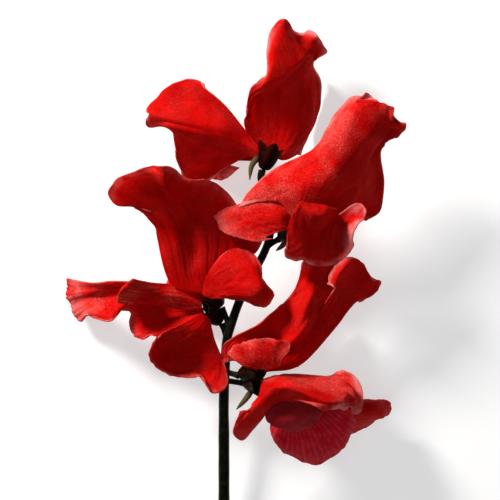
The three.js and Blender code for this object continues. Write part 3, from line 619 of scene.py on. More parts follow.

# %% [markdown]
# ## The blooms, as drawn on the plan
# Each bloom is a calyx, given by the middle of its base and the middle of its mouth, and four
# nets, drawn rib by rib. The numbers are millimetres: to the right, up the stem, and
# above the table. Ribs that lie close together make a fold, such as the one across the hood of
# the uppermost bloom.

# %% Nets of the blooms
BLOOMS = {
    "top": {
        "calyx": [[3.5, 20.2, 15.5], [4.9, 24.9, 13.9]],
        "standard": [
            [[3.8, 25, 11.6], [4.8, 24.8, 12.2], [5.5, 23.8, 13.2]],
            [
                [0.2, 27.2, 12.5], [3.5, 30, 12.5], [7.5, 30.5, 11], [10, 27.5, 10.5],
                [8.5, 22.5, 12],
            ],
            [
                [-1.5, 31.5, 14], [2, 36.5, 14.6], [7.5, 38.8, 12], [12.5, 37.5, 8], [15, 31.2, 6],
                [12, 24.2, 6],
            ],
            [
                [-1, 33.5, 14.6], [0.9, 37, 15.2], [3.4, 38.9, 15.2], [6.5, 41.4, 14.4],
                [9.5, 43.9, 13.5], [12.2, 46.4, 12.7], [14.4, 48.1, 11.8], [15.5, 47.5, 9.6],
                [15.8, 44.5, 6], [16.5, 38.8, 3.6], [15.8, 31.8, 2.8], [12.2, 24.2, 4.6],
            ],
            [
                [-1, 34.2, 14.8], [0.8, 38, 15.7], [3, 40, 16.1], [6.1, 42.4, 15.8],
                [9.1, 44.9, 15], [11.9, 47.4, 14.3], [14.1, 49.2, 13.7], [15.8, 49.2, 10.4],
                [15.5, 46, 6], [16.8, 40, 3], [16.2, 32, 2], [12.2, 24.2, 4.4],
            ],
            [
                [-0.8, 35, 15], [0.2, 39, 16.2], [2.8, 41.2, 16.6], [4.8, 43.8, 16.5],
                [5.6, 47, 16.3], [6.4, 50.5, 16.1], [7.5, 53.5, 16.1], [8.8, 55, 15.6],
                [10.4, 54.2, 13.8], [12, 53, 12], [13.8, 53, 12.8], [15.5, 52, 14],
                [17, 50.8, 11.6], [17, 49.2, 9.4], [15.5, 47.5, 7.2], [16.2, 45.5, 5.2],
                [17.2, 42.5, 2.4], [17.2, 36, 0.8], [16, 31, 1], [12.5, 24.2, 3.6],
            ],
            [
                [-0.8, 35.5, 15.2], [0, 40, 16.4], [2.2, 42.5, 16.4], [4.2, 44.2, 14.8],
                [4.6, 50, 13.6], [5.5, 54.2, 13], [6.9, 57, 14.4], [8.5, 57.8, 15.4],
                [10, 57, 14.4], [11.5, 55.1, 12], [13.2, 54.8, 11.2], [14.8, 55.4, 12.6],
                [16.8, 53.8, 14.2], [18, 52, 11.4], [19.2, 50, 8.6], [15.5, 47.5, 7], [16.5, 46, 3],
                [18, 43, 1.5], [17.8, 36, 0.1], [15.8, 30.5, 0.6], [12.5, 24.2, 3],
            ],
        ],
        "wing_near": [
            [[3.2, 24.8, 14.2], [2.8, 24, 14.4], [2.5, 23, 13.6]],
            [[-0.8, 29.5, 12.6], [-1.8, 27, 14.8], [-0.5, 23.5, 11.5]],
            [[-6, 36, 11], [-8.2, 31, 16.2], [-8.5, 26.5, 13], [-5.5, 21.2, 7.5]],
            [
                [-11, 40.5, 11], [-14.5, 41.8, 11.2], [-18.5, 40.5, 11.4], [-22, 37.8, 12],
                [-24, 35.2, 14], [-23, 33.5, 15.4], [-21.2, 32, 14.8], [-18.8, 30.5, 16],
                [-17.5, 27, 12], [-17, 22.5, 8], [-15, 19, 5.6], [-9.8, 18, 4.6],
            ],
            [
                [-11.5, 41.5, 10.4], [-13.5, 42.8, 10.2], [-16, 42.9, 10.4], [-19.2, 41.8, 10.4],
                [-22.2, 39.5, 10.8], [-24, 37, 10.6], [-26, 36.2, 10], [-26.2, 34.8, 12.4],
                [-25, 34, 14.4], [-26, 33, 13], [-25.5, 31.2, 10.6], [-23, 31.1, 12.4],
                [-19.8, 30.8, 15.2], [-19, 27, 11.5], [-18.2, 22.5, 8], [-16.2, 18, 5],
                [-10.2, 17.5, 4],
            ],
        ],
        "wing_far": [
            [[3, 24.5, 11], [2.5, 23.5, 10.6], [2.5, 22.8, 11]],
            [[0, 29, 8.5], [-1, 26, 6.5], [0.5, 22.5, 8.6]],
            [[-5, 33.8, 4], [-7, 28.8, 3], [-7, 22.5, 4.5]],
            [
                [-9.5, 37.5, 1], [-13.8, 35, 0], [-15.5, 28.8, 0], [-13.5, 22.5, 0],
                [-10, 18.5, 1.2], [-6.5, 18, 3.6], [-2.5, 20.8, 7.4],
            ],
        ],
        "keel": [
            [[3, 23.8, 12.7], [2.5, 23, 12.3], [3, 22.5, 11.6]],
            [[-1, 27, 11.6], [-1.5, 24.2, 10.4], [-0.8, 25.8, 8.4]],
            [[-5.2, 30.5, 10.8], [-5.8, 25, 8.2], [-5, 29.8, 5.4]],
            [[-10, 31.5, 8.6], [-10.5, 28.2, 7], [-9.8, 31, 4.6]],
        ],
    },
    "upper_right": {
        "calyx": [[7.8, 3, 12.9], [10.9, 6.1, 16.5]],
        "standard": [
            [[10.8, 7.5, 19.2], [12, 7.8, 19.2], [13, 7, 18.2]],
            [
                [7.5, 11.8, 19.8], [12.5, 15, 24.6], [18, 16, 26.4], [22.5, 13.5, 23],
                [22, 8.5, 19.4],
            ],
            [
                [3, 12, 18.4], [7.5, 17.5, 21], [14, 21.5, 23.5], [20, 23.5, 26.5],
                [24.5, 22.5, 26], [28, 17.5, 20], [28, 11.2, 15.5], [25.5, 8.2, 15],
            ],
            [
                [-2, 11, 18.2], [0, 13.8, 17.6], [4, 17.2, 18], [11, 21.5, 19.5], [18, 25.8, 21.5],
                [20.8, 29.2, 22.5], [22.8, 32.8, 24], [25.5, 35.5, 25.8], [29, 35.5, 26.5],
                [32.5, 34, 26], [34.5, 31.2, 24], [33.2, 28, 22], [31, 25, 19.5], [31, 21, 17],
                [31.8, 15.8, 13], [31.2, 10.8, 12], [27.8, 7.8, 13.4],
            ],
            [
                [-3, 11, 18], [-1, 14.2, 17], [3, 17.8, 17], [10, 22, 18], [17, 26, 19.5],
                [19.2, 29.8, 20], [20.8, 32.8, 20.6], [23, 35.8, 22], [24.8, 37.8, 23.6],
                [26.8, 38.2, 24.4], [28.5, 37.8, 25.2], [29.8, 38.4, 24.2], [31, 37.2, 25.6],
                [32.2, 36.1, 24.8], [33.8, 35.6, 26], [35.5, 35.1, 24.8], [35.2, 33.2, 25.6],
                [36, 31.2, 24], [37.2, 31, 25.4], [38.2, 31.8, 25.8], [38.5, 30.5, 24],
                [37.5, 29, 21.5], [35.8, 27.8, 22.4], [33.8, 26.5, 20], [32.5, 25, 20],
                [32.8, 21.5, 17], [33.8, 16.2, 12], [33, 10, 11], [29, 7.2, 13],
            ],
        ],
        "wing_near": [
            [[12, 5.5, 18.4], [12.8, 6, 19.4], [13.5, 7, 19.6]],
            [
                [9.8, 5.8, 26.6], [11, 9.2, 28], [12.2, 11.5, 27.6], [14.5, 11.4, 25.4],
                [17.5, 11, 25.4], [20.8, 10, 24.6],
            ],
            [
                [9.2, 4.2, 26.4], [10.5, 7, 28.2], [13, 9.2, 28.8], [15.8, 8.8, 29.6],
                [18.5, 8.6, 28.4], [21.2, 9.2, 24.4],
            ],
            [[9, 1.8, 25.2], [12, 2, 25.6], [15.8, 3, 24.8], [19.2, 5, 22.6], [21.5, 9.2, 22.4]],
            [
                [8.8, 0.5, 24.6], [10.2, -0.8, 23.8], [13, -0.5, 23.8], [16.8, -1.5, 22.2],
                [19.5, -1, 19.8], [20.8, 1.8, 19.2], [21.2, 5.5, 19.8], [22.5, 9.2, 22],
            ],
            [
                [8.5, 0.2, 24.4], [8.8, -1.8, 23.2], [11.2, -2.8, 22.4], [13, -2.2, 22.4],
                [15.2, -3.5, 21.6], [18, -4, 20.4], [21.5, -3.5, 18.6], [23.8, -1.8, 21],
                [25.2, 0.2, 23.4], [25.5, 2.5, 24.4], [26, 4.5, 25.2], [26.8, 6.2, 25.8],
                [28, 7.8, 26.2], [28.5, 9.5, 26.2], [27.8, 11.1, 25.4], [26.2, 11.5, 24.6],
                [24.8, 10.9, 23.8],
            ],
        ],
        "wing_far": [
            [[10.5, 7, 18.2], [10.5, 6, 17.4], [11.2, 5, 16.8]],
            [[10, 11, 18.6], [7, 7.8, 20.2], [8.2, 4.8, 19.8]],
            [[3, 13.5, 17], [1.2, 8, 19.4], [3.5, 3, 20.2]],
            [
                [-2.5, 11.2, 16.8], [-7.5, 10, 16.6], [-9.2, 8.8, 16.8], [-8.2, 7, 17.4],
                [-7.2, 4.8, 18], [-4.5, 3.5, 19], [-1.2, 2.6, 19.8], [2, 2, 20.2], [5.5, 2.8, 20.2],
            ],
        ],
        "keel": [
            [[12.5, 6.8, 18.2], [12.2, 6, 17.6], [12.8, 5.8, 17.2]],
            [[12.5, 7, 23], [11.5, 4.5, 21.4], [13.2, 5, 19]],
            [[16.5, 7.2, 24.4], [15, 3.5, 21.6], [17.5, 6, 19.4]],
            [[20.2, 7.5, 24], [19.2, 4.5, 21.8], [20.8, 6.8, 20.4]],
        ],
    },
    "upper_left": {
        "calyx": [[-7.4, -14.1, 11.6], [-9.9, -10.8, 13.2]],
        "standard": [
            [[-12.5, -10.8, 14.2], [-11.5, -10.8, 14.8], [-10.2, -9.5, 14.4]],
            [
                [-19.8, -8.5, 15], [-16.5, -8.5, 15.2], [-12.5, -6.8, 15.6], [-8.5, -4.5, 14.8],
                [-4.2, -4, 13.4],
            ],
            [
                [-23, 2.5, 17.4], [-21, 5.5, 20], [-19, 6.5, 20.2], [-15.5, 6, 16.8],
                [-11.5, 5.2, 17], [-7, 4, 15], [-2.5, -2, 13.6],
            ],
            [
                [-23.2, 8.5, 21], [-26, 9.5, 21.5], [-28.5, 11, 22.4], [-29.8, 13, 24],
                [-28.2, 15, 26], [-25.2, 16.5, 26.8], [-23.2, 16.8, 26.4], [-21, 16.5, 27.8],
                [-19, 15.2, 24.2], [-16.5, 13.5, 22.6], [-12.5, 12.5, 20.2], [-8, 10.5, 17],
                [-4, 7.5, 15.2], [-1, 3.5, 14.8], [0, 0.5, 14.7], [-1.8, -1.8, 14.3],
            ],
            [
                [-25, 9.5, 22.4], [-28.8, 10.8, 22.6], [-33, 11.2, 22], [-35, 13.8, 23],
                [-33.5, 16.8, 25.6], [-30, 18.5, 27.4], [-25.8, 20.2, 28], [-23.5, 20.8, 27.2],
                [-21.5, 20.8, 28.8], [-19, 20.2, 25.2], [-16.5, 18.2, 24], [-14, 17.2, 23.5],
                [-10.8, 17.5, 20.5], [-7.5, 16, 18], [-4.8, 13.5, 16], [-2.2, 9.8, 15],
                [0.8, 7, 14.8], [2.8, 4.5, 14.7], [3.2, 2.5, 14.9], [2.5, 0.8, 14.9],
                [1.2, -1, 14.8], [-1, -2.2, 14.4],
            ],
        ],
        "wing_near": [
            [[-11.9, -10.5, 15.6], [-11.5, -11.5, 15.8], [-10.2, -12, 15.6]],
            [[-11, -6.8, 16.4], [-7.5, -6.2, 18], [-5.5, -9.2, 18.8], [-8.2, -12.1, 16.8]],
            [
                [-8, -2.2, 16.4], [-3.5, -3, 18.6], [0.5, -5.5, 20.6], [2, -9.2, 22],
                [0.8, -11.5, 21.2], [-2.5, -11.4, 19.4], [-6, -12, 17.2],
            ],
            [
                [-5.8, -0.2, 16.2], [-3.5, 0.4, 16.4], [-1, 0, 16.6], [1.2, -1.2, 16.6],
                [2.5, -4, 17.6], [3.2, -7, 19], [5, -9.5, 19], [6.1, -11.8, 17.5], [4, -14, 17],
                [0, -13.2, 18], [-4.5, -12.2, 17],
            ],
        ],
        "wing_far": [
            [[-12, -11, 13], [-11.5, -11.8, 12.8], [-10.8, -12, 13]],
            [[-15, -8.5, 11.6], [-16, -10.2, 10.8], [-14.5, -12.5, 10.8]],
            [[-18, -7, 8], [-19.5, -10, 6], [-17.5, -14, 7]],
            [[-19.5, -6.2, 5], [-21.5, -9, 2], [-22, -12.2, 0], [-19.2, -15.2, 0], [-15, -16, 4]],
        ],
        "keel": [
            [[-10.8, -10.5, 14.8], [-10.5, -11, 14.2], [-11, -10.2, 13.7]],
            [[-7, -7, 17.6], [-6.5, -9.8, 16.2], [-7.5, -7.8, 14.6]],
            [[-3.5, -4.5, 18], [-2.5, -8.2, 16.4], [-3.2, -5, 14.8]],
            [[-1, -3.5, 17.2], [0, -5.5, 16.2], [-0.8, -3.8, 15.2]],
        ],
    },
    "lower_left": {
        "calyx": [[-7.2, -18.2, 10], [-11.1, -15, 11.4]],
        "standard": [
            [[-11.2, -12.5, 11.8], [-12, -13.5, 12.8], [-12, -14.5, 12.8]],
            [[-14.5, -10, 12.4], [-15, -12.5, 14], [-15.2, -14.8, 13]],
            [[-18.2, -8.8, 12.8], [-18.2, -11.5, 14.8], [-18.2, -14.8, 12.6]],
            [[-25.2, -8, 17.6], [-25.5, -10.8, 17], [-25.8, -13.5, 12.8]],
            [[-29, -7.1, 21], [-32, -10, 21], [-33, -13.2, 15]],
            [[-27.8, -7.8, 14], [-29.8, -10.5, 13], [-30.8, -13.6, 10]],
            [[-34.5, -7.9, 12.5], [-36, -11.8, 8.5], [-34.8, -17.4, 13.5]],
            [[-40, -8.2, 10], [-40.5, -12.5, 7.5], [-39.5, -17.1, 10]],
            [
                [-46.5, -7.2, 3.5], [-46.4, -11.8, 3], [-45, -15.8, 3.5], [-43.2, -18, 3.8],
                [-41.5, -16.1, 6.5],
            ],
        ],
        "wing_near": [
            [[-12, -15.8, 13.6], [-11.2, -16.5, 13.6], [-10.2, -16.8, 12.8]],
            [[-16, -18, 17.5], [-13, -20, 16.5], [-9.2, -21.5, 13.5]],
            [[-21.5, -20.5, 18.5], [-17.5, -24.5, 14.5], [-12.5, -26, 13.2], [-7.8, -25, 12.8]],
            [
                [-22.5, -21.5, 18.6], [-23.5, -24.5, 17], [-22.2, -27.8, 12.6],
                [-18.5, -29.8, 10.4], [-14, -29.8, 10.4], [-10, -31, 11.6], [-8, -30, 12],
                [-6.8, -27.5, 12.4],
            ],
            [
                [-23.2, -21.5, 18.6], [-25, -24.5, 18], [-24.8, -27.5, 15.4], [-22.5, -30.2, 13.4],
                [-18.8, -31.8, 12.6], [-14.5, -32, 12.8], [-11.8, -31.8, 13.4],
                [-10.5, -33.8, 14.6], [-9.2, -35.8, 14], [-7, -35.5, 13], [-5.5, -33.5, 12.4],
                [-6, -30, 12.6],
            ],
        ],
        "wing_far": [
            [[-11.8, -14.5, 11.6], [-11.6, -15.2, 11.8], [-11.6, -15.9, 11.6]],
            [[-18.5, -13.5, 10.6], [-17.5, -16.5, 10.6], [-15.5, -19.2, 14.6]],
            [[-24.5, -13, 10.8], [-24.5, -16, 8.6], [-23.5, -19, 10.2], [-22.2, -21.5, 14.2]],
            [
                [-30.8, -13.4, 7.2], [-33, -13.8, 8.4], [-32.5, -15.2, 8.4], [-30.2, -15.8, 8],
                [-30.5, -18, 7.6], [-30.2, -20.2, 8.2], [-29, -21.8, 9], [-27.2, -22.4, 10],
                [-25, -21.5, 12.3], [-23, -21.8, 13.3],
            ],
        ],
        "keel": [
            [[-12, -15.5, 11.8], [-11.5, -16.2, 11.2], [-12.2, -15.8, 10.6]],
            [[-15, -18.5, 12.5], [-14.5, -21, 10.8], [-14.2, -19, 9.4]],
            [[-19, -20.8, 11], [-17.8, -23.8, 9.6], [-18.2, -21.2, 7.6]],
            [[-22, -23.2, 8.2], [-21, -25.2, 7.4], [-21.8, -23.8, 6.2]],
        ],
    },
    "lower_right": {
        "calyx": [[-2.5, -31.5, 12.3], [1.5, -29.8, 14.4]],
        "standard": [
            [[1.5, -28.8, 13.6], [2.5, -29, 14.2], [3.5, -29.8, 13.8]],
            [
                [-1, -28.5, 13.2], [0.5, -25, 15], [4, -23, 15], [8, -22, 14.6], [10.5, -21.2, 17],
                [12.5, -21, 18.2], [13.8, -23.2, 14.2], [12.5, -26.5, 12.2], [10.5, -28.5, 12.4],
            ],
            [
                [-4, -27.8, 12.8], [-3.5, -24, 15.2], [0.5, -20.5, 17], [6, -16.5, 15],
                [9.5, -15.2, 13.8], [12.5, -13.5, 17.6], [15, -12.2, 20.4], [18, -13.2, 16],
                [20, -17, 11.6], [17, -21.5, 10.4], [12, -28, 11.3],
            ],
            [
                [-5.5, -28.2, 12.6], [-5.2, -24, 14.4], [-1, -20.5, 17.2], [4.5, -16.8, 16.8],
                [9, -14, 14], [11.5, -10.8, 15.6], [14, -8, 18.8], [17.5, -7.5, 15.8],
                [21, -8.8, 12.8], [22.5, -12, 11.4], [21, -17.5, 10.4], [18, -21.8, 10],
                [13.2, -27.2, 10.8],
            ],
            [
                [-6.8, -29, 12.4], [-7.2, -26.2, 12.6], [-6.8, -24, 14], [-2.5, -20.8, 17],
                [3, -17.2, 18], [8.5, -13.2, 14.6], [10.8, -10, 14.8], [12.5, -7, 17.5],
                [13, -3, 20.4], [16.5, -1.5, 20], [21.5, -2.5, 16.4], [25, -5, 13], [25, -10, 11],
                [24, -15.5, 10], [22, -17.8, 9.8], [18.8, -21.8, 9.6], [14.5, -26.5, 10],
                [12.2, -29.5, 11],
            ],
        ],
        "wing_near": [
            [[3.2, -29, 15.2], [3.8, -29.8, 15.2], [3.8, -30.5, 14.6]],
            [[9.8, -25.5, 15.8], [11.8, -27, 15.2], [12.2, -29, 13.8]],
            [[16.5, -16.5, 16.4], [19.5, -17.8, 15], [20, -21.2, 12.2]],
            [[20.2, -10.5, 18.6], [23.5, -11.5, 15], [25, -14.8, 12.8]],
            [
                [20.8, -9.2, 20.6], [21.8, -6.5, 22], [23.5, -4.5, 22.2], [25.5, -3.2, 20.8],
                [27.2, -3.8, 18.2], [28.5, -5.5, 15.8], [29.8, -7.2, 14.4], [31, -8.8, 12.9],
                [29.8, -10.5, 12.3], [26.8, -13, 12.4],
            ],
            [
                [19.5, -8.5, 19], [20, -5.5, 20], [22, -3.2, 20.6], [24.2, -1.8, 20.4],
                [26, -1.9, 19], [28, -3.5, 16.6], [28.5, -5.5, 15], [30.5, -7, 13.6], [33, -8, 12],
                [31.2, -10.8, 11.8], [27.5, -13.2, 12.2],
            ],
        ],
        "wing_far": [
            [[1.8, -30, 16.2], [2.2, -29.5, 16.8], [3, -29.8, 16.8]],
            [[-1, -29.2, 16.6], [1.5, -27.5, 18.8], [5, -27.5, 19.6], [7, -29, 18.6]],
            [[-3.2, -27.8, 16], [0.5, -25, 19.2], [5, -25, 20.6], [8.2, -26.8, 20]],
            [
                [-5.5, -26, 14.8], [-4, -23.8, 15.6], [-2.5, -23.4, 17.4], [-0.5, -22.5, 18.2],
                [1.8, -22.1, 19.8], [4.5, -21.8, 20.6], [7.2, -22.4, 21.4], [9.8, -22.8, 21.6],
                [9.8, -25, 20.8],
            ],
        ],
        "keel": [
            [[3.5, -29.8, 13], [4, -30.2, 12.4], [3.8, -29.8, 11.8]],
            [[9, -26, 11], [10.5, -27.5, 9.6], [9.5, -26.5, 7.3]],
            [[15.5, -19, 10.2], [17.5, -20.8, 8], [16, -19.2, 5.6]],
            [[20, -14, 10], [21.2, -15, 8], [20.2, -14.2, 6.4]],
        ],
    },
    "bottom": {
        "calyx": [[-1.2, -33.5, 10.5], [2.2, -33.5, 13]],
        "standard": [
            [[3, -32.2, 13.6], [3, -33, 15], [2.8, -34, 15.4]],
            [
                [4.5, -34, 9], [6.5, -31.5, 14], [8.5, -32.2, 20], [7.5, -34, 22], [4, -35.2, 20],
                [2, -36.8, 17],
            ],
            [
                [8, -35.5, 6.5], [11, -31.2, 13], [15, -32.8, 19], [13.5, -34.5, 24], [9, -34, 25],
                [4, -34.8, 23], [0.5, -37.8, 19.5],
            ],
            [
                [12.5, -36, 4], [18, -32.8, 8], [22, -32, 15], [25, -34, 19], [25.8, -36.5, 21],
                [24.2, -35.2, 22], [22.5, -36.8, 23], [18.8, -37.5, 25], [15, -36.5, 25.8],
                [11.8, -35.1, 26.4], [8.5, -34.5, 26], [5, -35.2, 24.5], [2.2, -37, 22.5],
                [-0.5, -39.2, 21],
            ],
            [
                [15, -36, 3], [21.5, -34.5, 6], [23.5, -30.5, 14], [26.5, -32, 17], [28, -36, 18],
                [27.8, -39.8, 18.5], [26, -41, 19], [25, -39, 17], [23.8, -40.2, 16.8],
                [22.2, -39.5, 20.5], [20, -39.5, 24.5], [17.8, -39.4, 25.5], [15.5, -38.5, 26],
                [13.2, -37.9, 25], [11, -37.4, 23.8], [8.8, -37, 22.6], [6.5, -37.5, 21.2],
                [4.2, -38.8, 18.6], [2.5, -40.8, 16.5], [1.8, -43.5, 14.5], [-1.8, -47.5, 14],
                [-4, -46, 18.5], [-3.5, -42.8, 20.3], [-2.5, -40, 20.8],
            ],
        ],
        "wing_near": [
            [[3, -34.5, 12.8], [3.5, -34.8, 12.8], [4, -34.2, 12.8]],
            [[4.5, -37.5, 12.8], [7.5, -39, 14.6], [12.5, -38, 15.8], [15.5, -36, 16]],
            [
                [5.5, -41, 13.4], [10, -45, 15.2], [15.5, -45.5, 16], [20.5, -42.5, 16],
                [22.5, -38.5, 15.6],
            ],
            [
                [5, -43.5, 13], [5.2, -46, 12], [6.8, -48.8, 11], [9, -51.2, 10], [12.5, -53.2, 9],
                [17.5, -54, 8], [21, -51.8, 9], [23.8, -49.5, 10], [25.2, -47, 12],
                [26.5, -43.5, 13.6], [25.5, -40.5, 14.6],
            ],
        ],
        "wing_far": [
            [[3.8, -33.2, 13.2], [3.8, -33.8, 12.6], [3.2, -34, 12.2]],
            [[12.5, -36.5, 12], [14, -38.5, 13], [13, -40.5, 11]],
            [[21.2, -37.5, 11.4], [22.8, -41, 12.6], [21.2, -44.5, 9]],
            [
                [28, -38, 12.4], [29, -37.6, 12], [32, -37.8, 10.4], [35, -38.2, 8.4],
                [35.6, -40.2, 6.6], [34.2, -42.5, 4.6], [32, -43.2, 4.4], [29.5, -45.2, 1.6],
                [25.5, -46.8, 0],
            ],
        ],
        "keel": [
            [[3, -34.2, 14.4], [3.2, -34.8, 14.2]],
            [[3.5, -37.5, 15.5], [7, -37.8, 17.2], [11.5, -37.5, 18.6]],
            [[3.2, -39.5, 17], [7.5, -41.5, 19.8], [12.5, -41, 19.8], [17.5, -38.2, 18]],
            [
                [3.5, -40.8, 17], [5.2, -43.5, 17.8], [10, -45.1, 17.6], [14.5, -44.2, 17.8],
                [17.5, -41.5, 18], [19, -39.2, 18],
            ],
        ],
    },
}

# %% [markdown]
# ## Making the petals
# The kinds of petal differ in how fine their grids are and how strongly they wave: a standard
# is large and ruffled, the wings are smaller and smoother, and the keel is nearly plain. The
# waves are the heights of ruffle, pleat and crumple. Some petals have a finish or waves of
# their own, because they carry more painted glints and sheen, are more veined or are smoother
# than the others.

# %% Petals
FIRST_SEED = 100
SEEDS_PER_BLOOM = 10
KINDS = {
    "standard": {"fineness": (128, 96), "waves": (0.5, 0.07, 0.12)},
    "wing_near": {"fineness": (88, 72), "waves": (0.32, 0.02, 0.09)},
    "wing_far": {"fineness": (88, 72), "waves": (0.22, 0.02, 0.05)},
    "keel": {"fineness": (48, 40), "waves": (0.12, 0.05, 0.08)},
}
OWN_FINISHES = {
    "top_standard": SHEEN_RIMMED_PETAL,
    "top_wing_near": SHEEN_RIMMED_PETAL,
    "top_wing_far": SHEEN_RIMMED_PETAL,
    "upper_right_wing_near": SHEEN_RIMMED_PETAL,
    "lower_right_wing_near": SHEEN_RIMMED_PETAL,
    "upper_right_standard": PAINTED_SHEEN_PETAL,
    "upper_right_wing_far": GLINT_PETAL,
    "lower_left_standard": FOLDED_PETAL,
    "lower_right_wing_far": GLINT_PETAL,
    "bottom_standard": PAINTED_SHEEN_PETAL,
    "bottom_wing_near": VEINED_PETAL,
}
OWN_WAVES = {"top_standard": (0.45, 0.02, 0.12), "lower_left_standard": (0.35, 0.0, 0.14)}

for bloom_number, (bloom, nets) in enumerate(BLOOMS.items()):
    for kind_number, (kind, way) in enumerate(KINDS.items()):
        node = bloom + "_" + kind
        is_keel = kind == "keel"
        material = OWN_FINISHES.get(node, KEEL_PETAL if is_keel else RED_PETAL)
        waves = OWN_WAVES.get(node, way["waves"])
        seed = FIRST_SEED + SEEDS_PER_BLOOM * bloom_number + kind_number
        petal(node, nets[kind], way["fineness"], seed, waves, material)
    print("Petals of", bloom)

# %% [markdown]
# ## Stem and stalks
# On the plant this is one bare stem with a short stalk to each bloom, all grown as one piece.
# A bevelled curve would make such tubes, but here each is a rolled grid, which brings a map for
# the streaks: the grid's width goes round and its length follows the route. The main stem thins
# towards the top, and each stalk swells a little at both its ends. The seam is closed by merging
# the two edges that meet, and the open ends are filled.

# %% Tube maker
MERGE_DISTANCE = 0.002 * MM
UNEVENNESS = 0.02
RIDGES = 5
SWELLINGS = [5.0, 11.0]


def tube_sheet(route, radii, around, along, seed):
    """Points of a tube round a route, with a radius that is given at even steps of its length"""
    rng = np.random.default_rng(seed)
    shares = np.linspace(0, 1, along + 1)
    middle = through(route, shares)
    forward = np.gradient(middle, axis=0)
    forward /= np.linalg.norm(forward, axis=1, keepdims=True)
    side = np.cross(forward, [0, 0, 1.0])
    side /= np.linalg.norm(side, axis=1, keepdims=True)
    up = np.cross(side, forward)
    radius = np.interp(shares, np.linspace(0, 1, len(radii)), radii)
    turns = np.linspace(0, 2 * np.pi, around + 1)
    uneven = 1 + UNEVENNESS * np.sin(RIDGES * turns + rng.uniform(0, 6))[None, :]
    uneven = uneven + UNEVENNESS * uneven_wave(rng, shares, SWELLINGS)[:, None]
    reach = (radius[:, None] * uneven)[:, :, None]
    sideways = np.cos(turns)[None, :, None] * side[:, None, :]
    upwards = np.sin(turns)[None, :, None] * up[:, None, :]
    return middle[:, None, :] + reach * (sideways + upwards)


def close_seam(with_ends):
    """Merges the seam of the rolled grid that is active, and fills its two ends if asked"""
    bpy.ops.object.mode_set(mode="EDIT")
    bpy.ops.mesh.select_all(action="SELECT")
    bpy.ops.mesh.remove_doubles(threshold=MERGE_DISTANCE)
    if with_ends:
        bpy.ops.mesh.select_all(action="DESELECT")
        bpy.ops.mesh.select_non_manifold(extend=False)
        bpy.ops.mesh.fill_holes(sides=0)
        bpy.ops.mesh.select_all(action="SELECT")
    bpy.ops.mesh.normals_make_consistent(inside=False)
    bpy.ops.object.mode_set(mode="OBJECT")


def tube(name, route, radii, around, along, seed):
    """A closed tube along a route"""
    piece = flat_grid(name, around, along)
    move_onto(piece, tube_sheet(route, radii, around, along, seed))
    close_seam(with_ends=True)
    return piece


def join(pieces):
    """Joins pieces that grew as one into the first of them"""
    bpy.ops.object.select_all(action="DESELECT")
    for piece in pieces:
        piece.select_set(True)
    bpy.context.view_layer.objects.active = pieces[0]
    bpy.ops.object.join()
    return pieces[0]


print("Tube maker is ready")

# %% Stem
STEM_ROUTE = [
    [-6.6, -91.8, 1.5], [-6.6, -77.5, 3.2], [-6.6, -62.5, 5.2], [-6.6, -47.5, 7.4],
    [-6.6, -37.5, 9], [-6.2, -27.5, 10.4], [-5.8, -22.5, 11], [-4.5, -18, 11.5], [-2.5, -12.5, 12],
    [0.5, -6.2, 12.3], [3, -1.8, 12.5], [4.5, 1.8, 12.7], [5.2, 5.5, 12.8], [5, 10, 13],
    [3.8, 14.5, 13.6], [2.8, 17.8, 14.4], [3, 19.8, 15.2],
]
STALK_ROUTES = {
    "upper_left": [[-5.2, -19.5, 11.5], [-6.2, -16.5, 11.4], [-7.2, -14.5, 11.5]],
    "lower_left": [[-5.8, -22.8, 11], [-6.5, -20.2, 10.6], [-7.1, -18.5, 10.5]],
    "upper_right": [[4.2, 0.8, 12.7], [6, 2, 12.8], [7.5, 2.8, 13]],
    "lower_right": [[-6.4, -30.5, 10], [-4.8, -31, 11.2], [-2.8, -31.5, 12.2]],
    "bottom": [[-6.5, -32.8, 9.7], [-4, -33.2, 9.8], [-1.5, -33.5, 10.4]],
}

STEM_RADII = [1.56, 1.5, 1.44, 1.4, 1.34, 1.26, 1.18, 1.1, 1.02, 0.98, 0.97]
STALK_RADII = [0.9, 0.74, 0.7, 0.74, 0.95]
STEM_FINENESS = (40, 420)
STALK_FINENESS = (28, 48)

grown = [tube("stem_main", STEM_ROUTE, STEM_RADII, *STEM_FINENESS, seed=1)]
for seed, route in enumerate(STALK_ROUTES.values(), start=2):
    grown.append(tube("stem_stalk", route, STALK_RADII, *STALK_FINENESS, seed))
stem = finish_piece(join(grown), "stem", STEM_SKIN)
stem.name = "stem_skin"
print("The stem has", len(stem.data.polygons), "faces")

# %% [markdown]
# ## Calyces
# A calyx is the cup that holds the claws of the petals, with five pointed teeth, thin enough to
# bend outwards. It could be cut out of a bowl, but it is a rolled grid too, so that its streaks
# run from foot to tip: its length runs from the foot of the cup to the teeth, the outer edge is
# drawn out into five points, and then it gets a wall. The uppermost one has shorter teeth. Three
# have a long sepal that is bent back, which is a tapering tube.

# %% Long sepals
LONG_SEPALS = {
    "top": [[2.8, 24, 14.6], [0.5, 21.2, 15.8], [-0.1, 17.5, 16.6]],
    "upper_right": [[9.5, 3.2, 15.6], [8.2, 1.2, 15.2], [6.5, -0.2, 14.4]],
    "bottom": [[0.5, -35.2, 12.2], [-1.2, -37.5, 12.8], [-3.4, -40, 12.6]],
}
SEPAL_RADII = [0.62, 0.8, 0.7, 0.5, 0.12]
SEPAL_FINENESS = (16, 24)


def long_sepal(name, route, seed):
    """A narrow tapering sepal, its map raised by 1 above that of the cup"""
    sepal = tube(name, route, SEPAL_RADII, *SEPAL_FINENESS, seed)
    for corner in sepal.data.uv_layers.active.data:
        corner.uv[1] += 1
    return sepal


print("Long sepals:", ", ".join(LONG_SEPALS))

# %% Calyx maker
CALYX_WALL = 0.35
CALYX_FINENESS = (60, 26)
TEETH = 5
TOOTH_REACH = (0.85, 1.2)
TOOTH_SPREAD = (-0.2, 0.9)
FOOT_RADIUS = 1.0
BULGE = 1.55
FLARE_START = 0.75
FLARE = 1.6
CALYX_RIDGE = 0.035


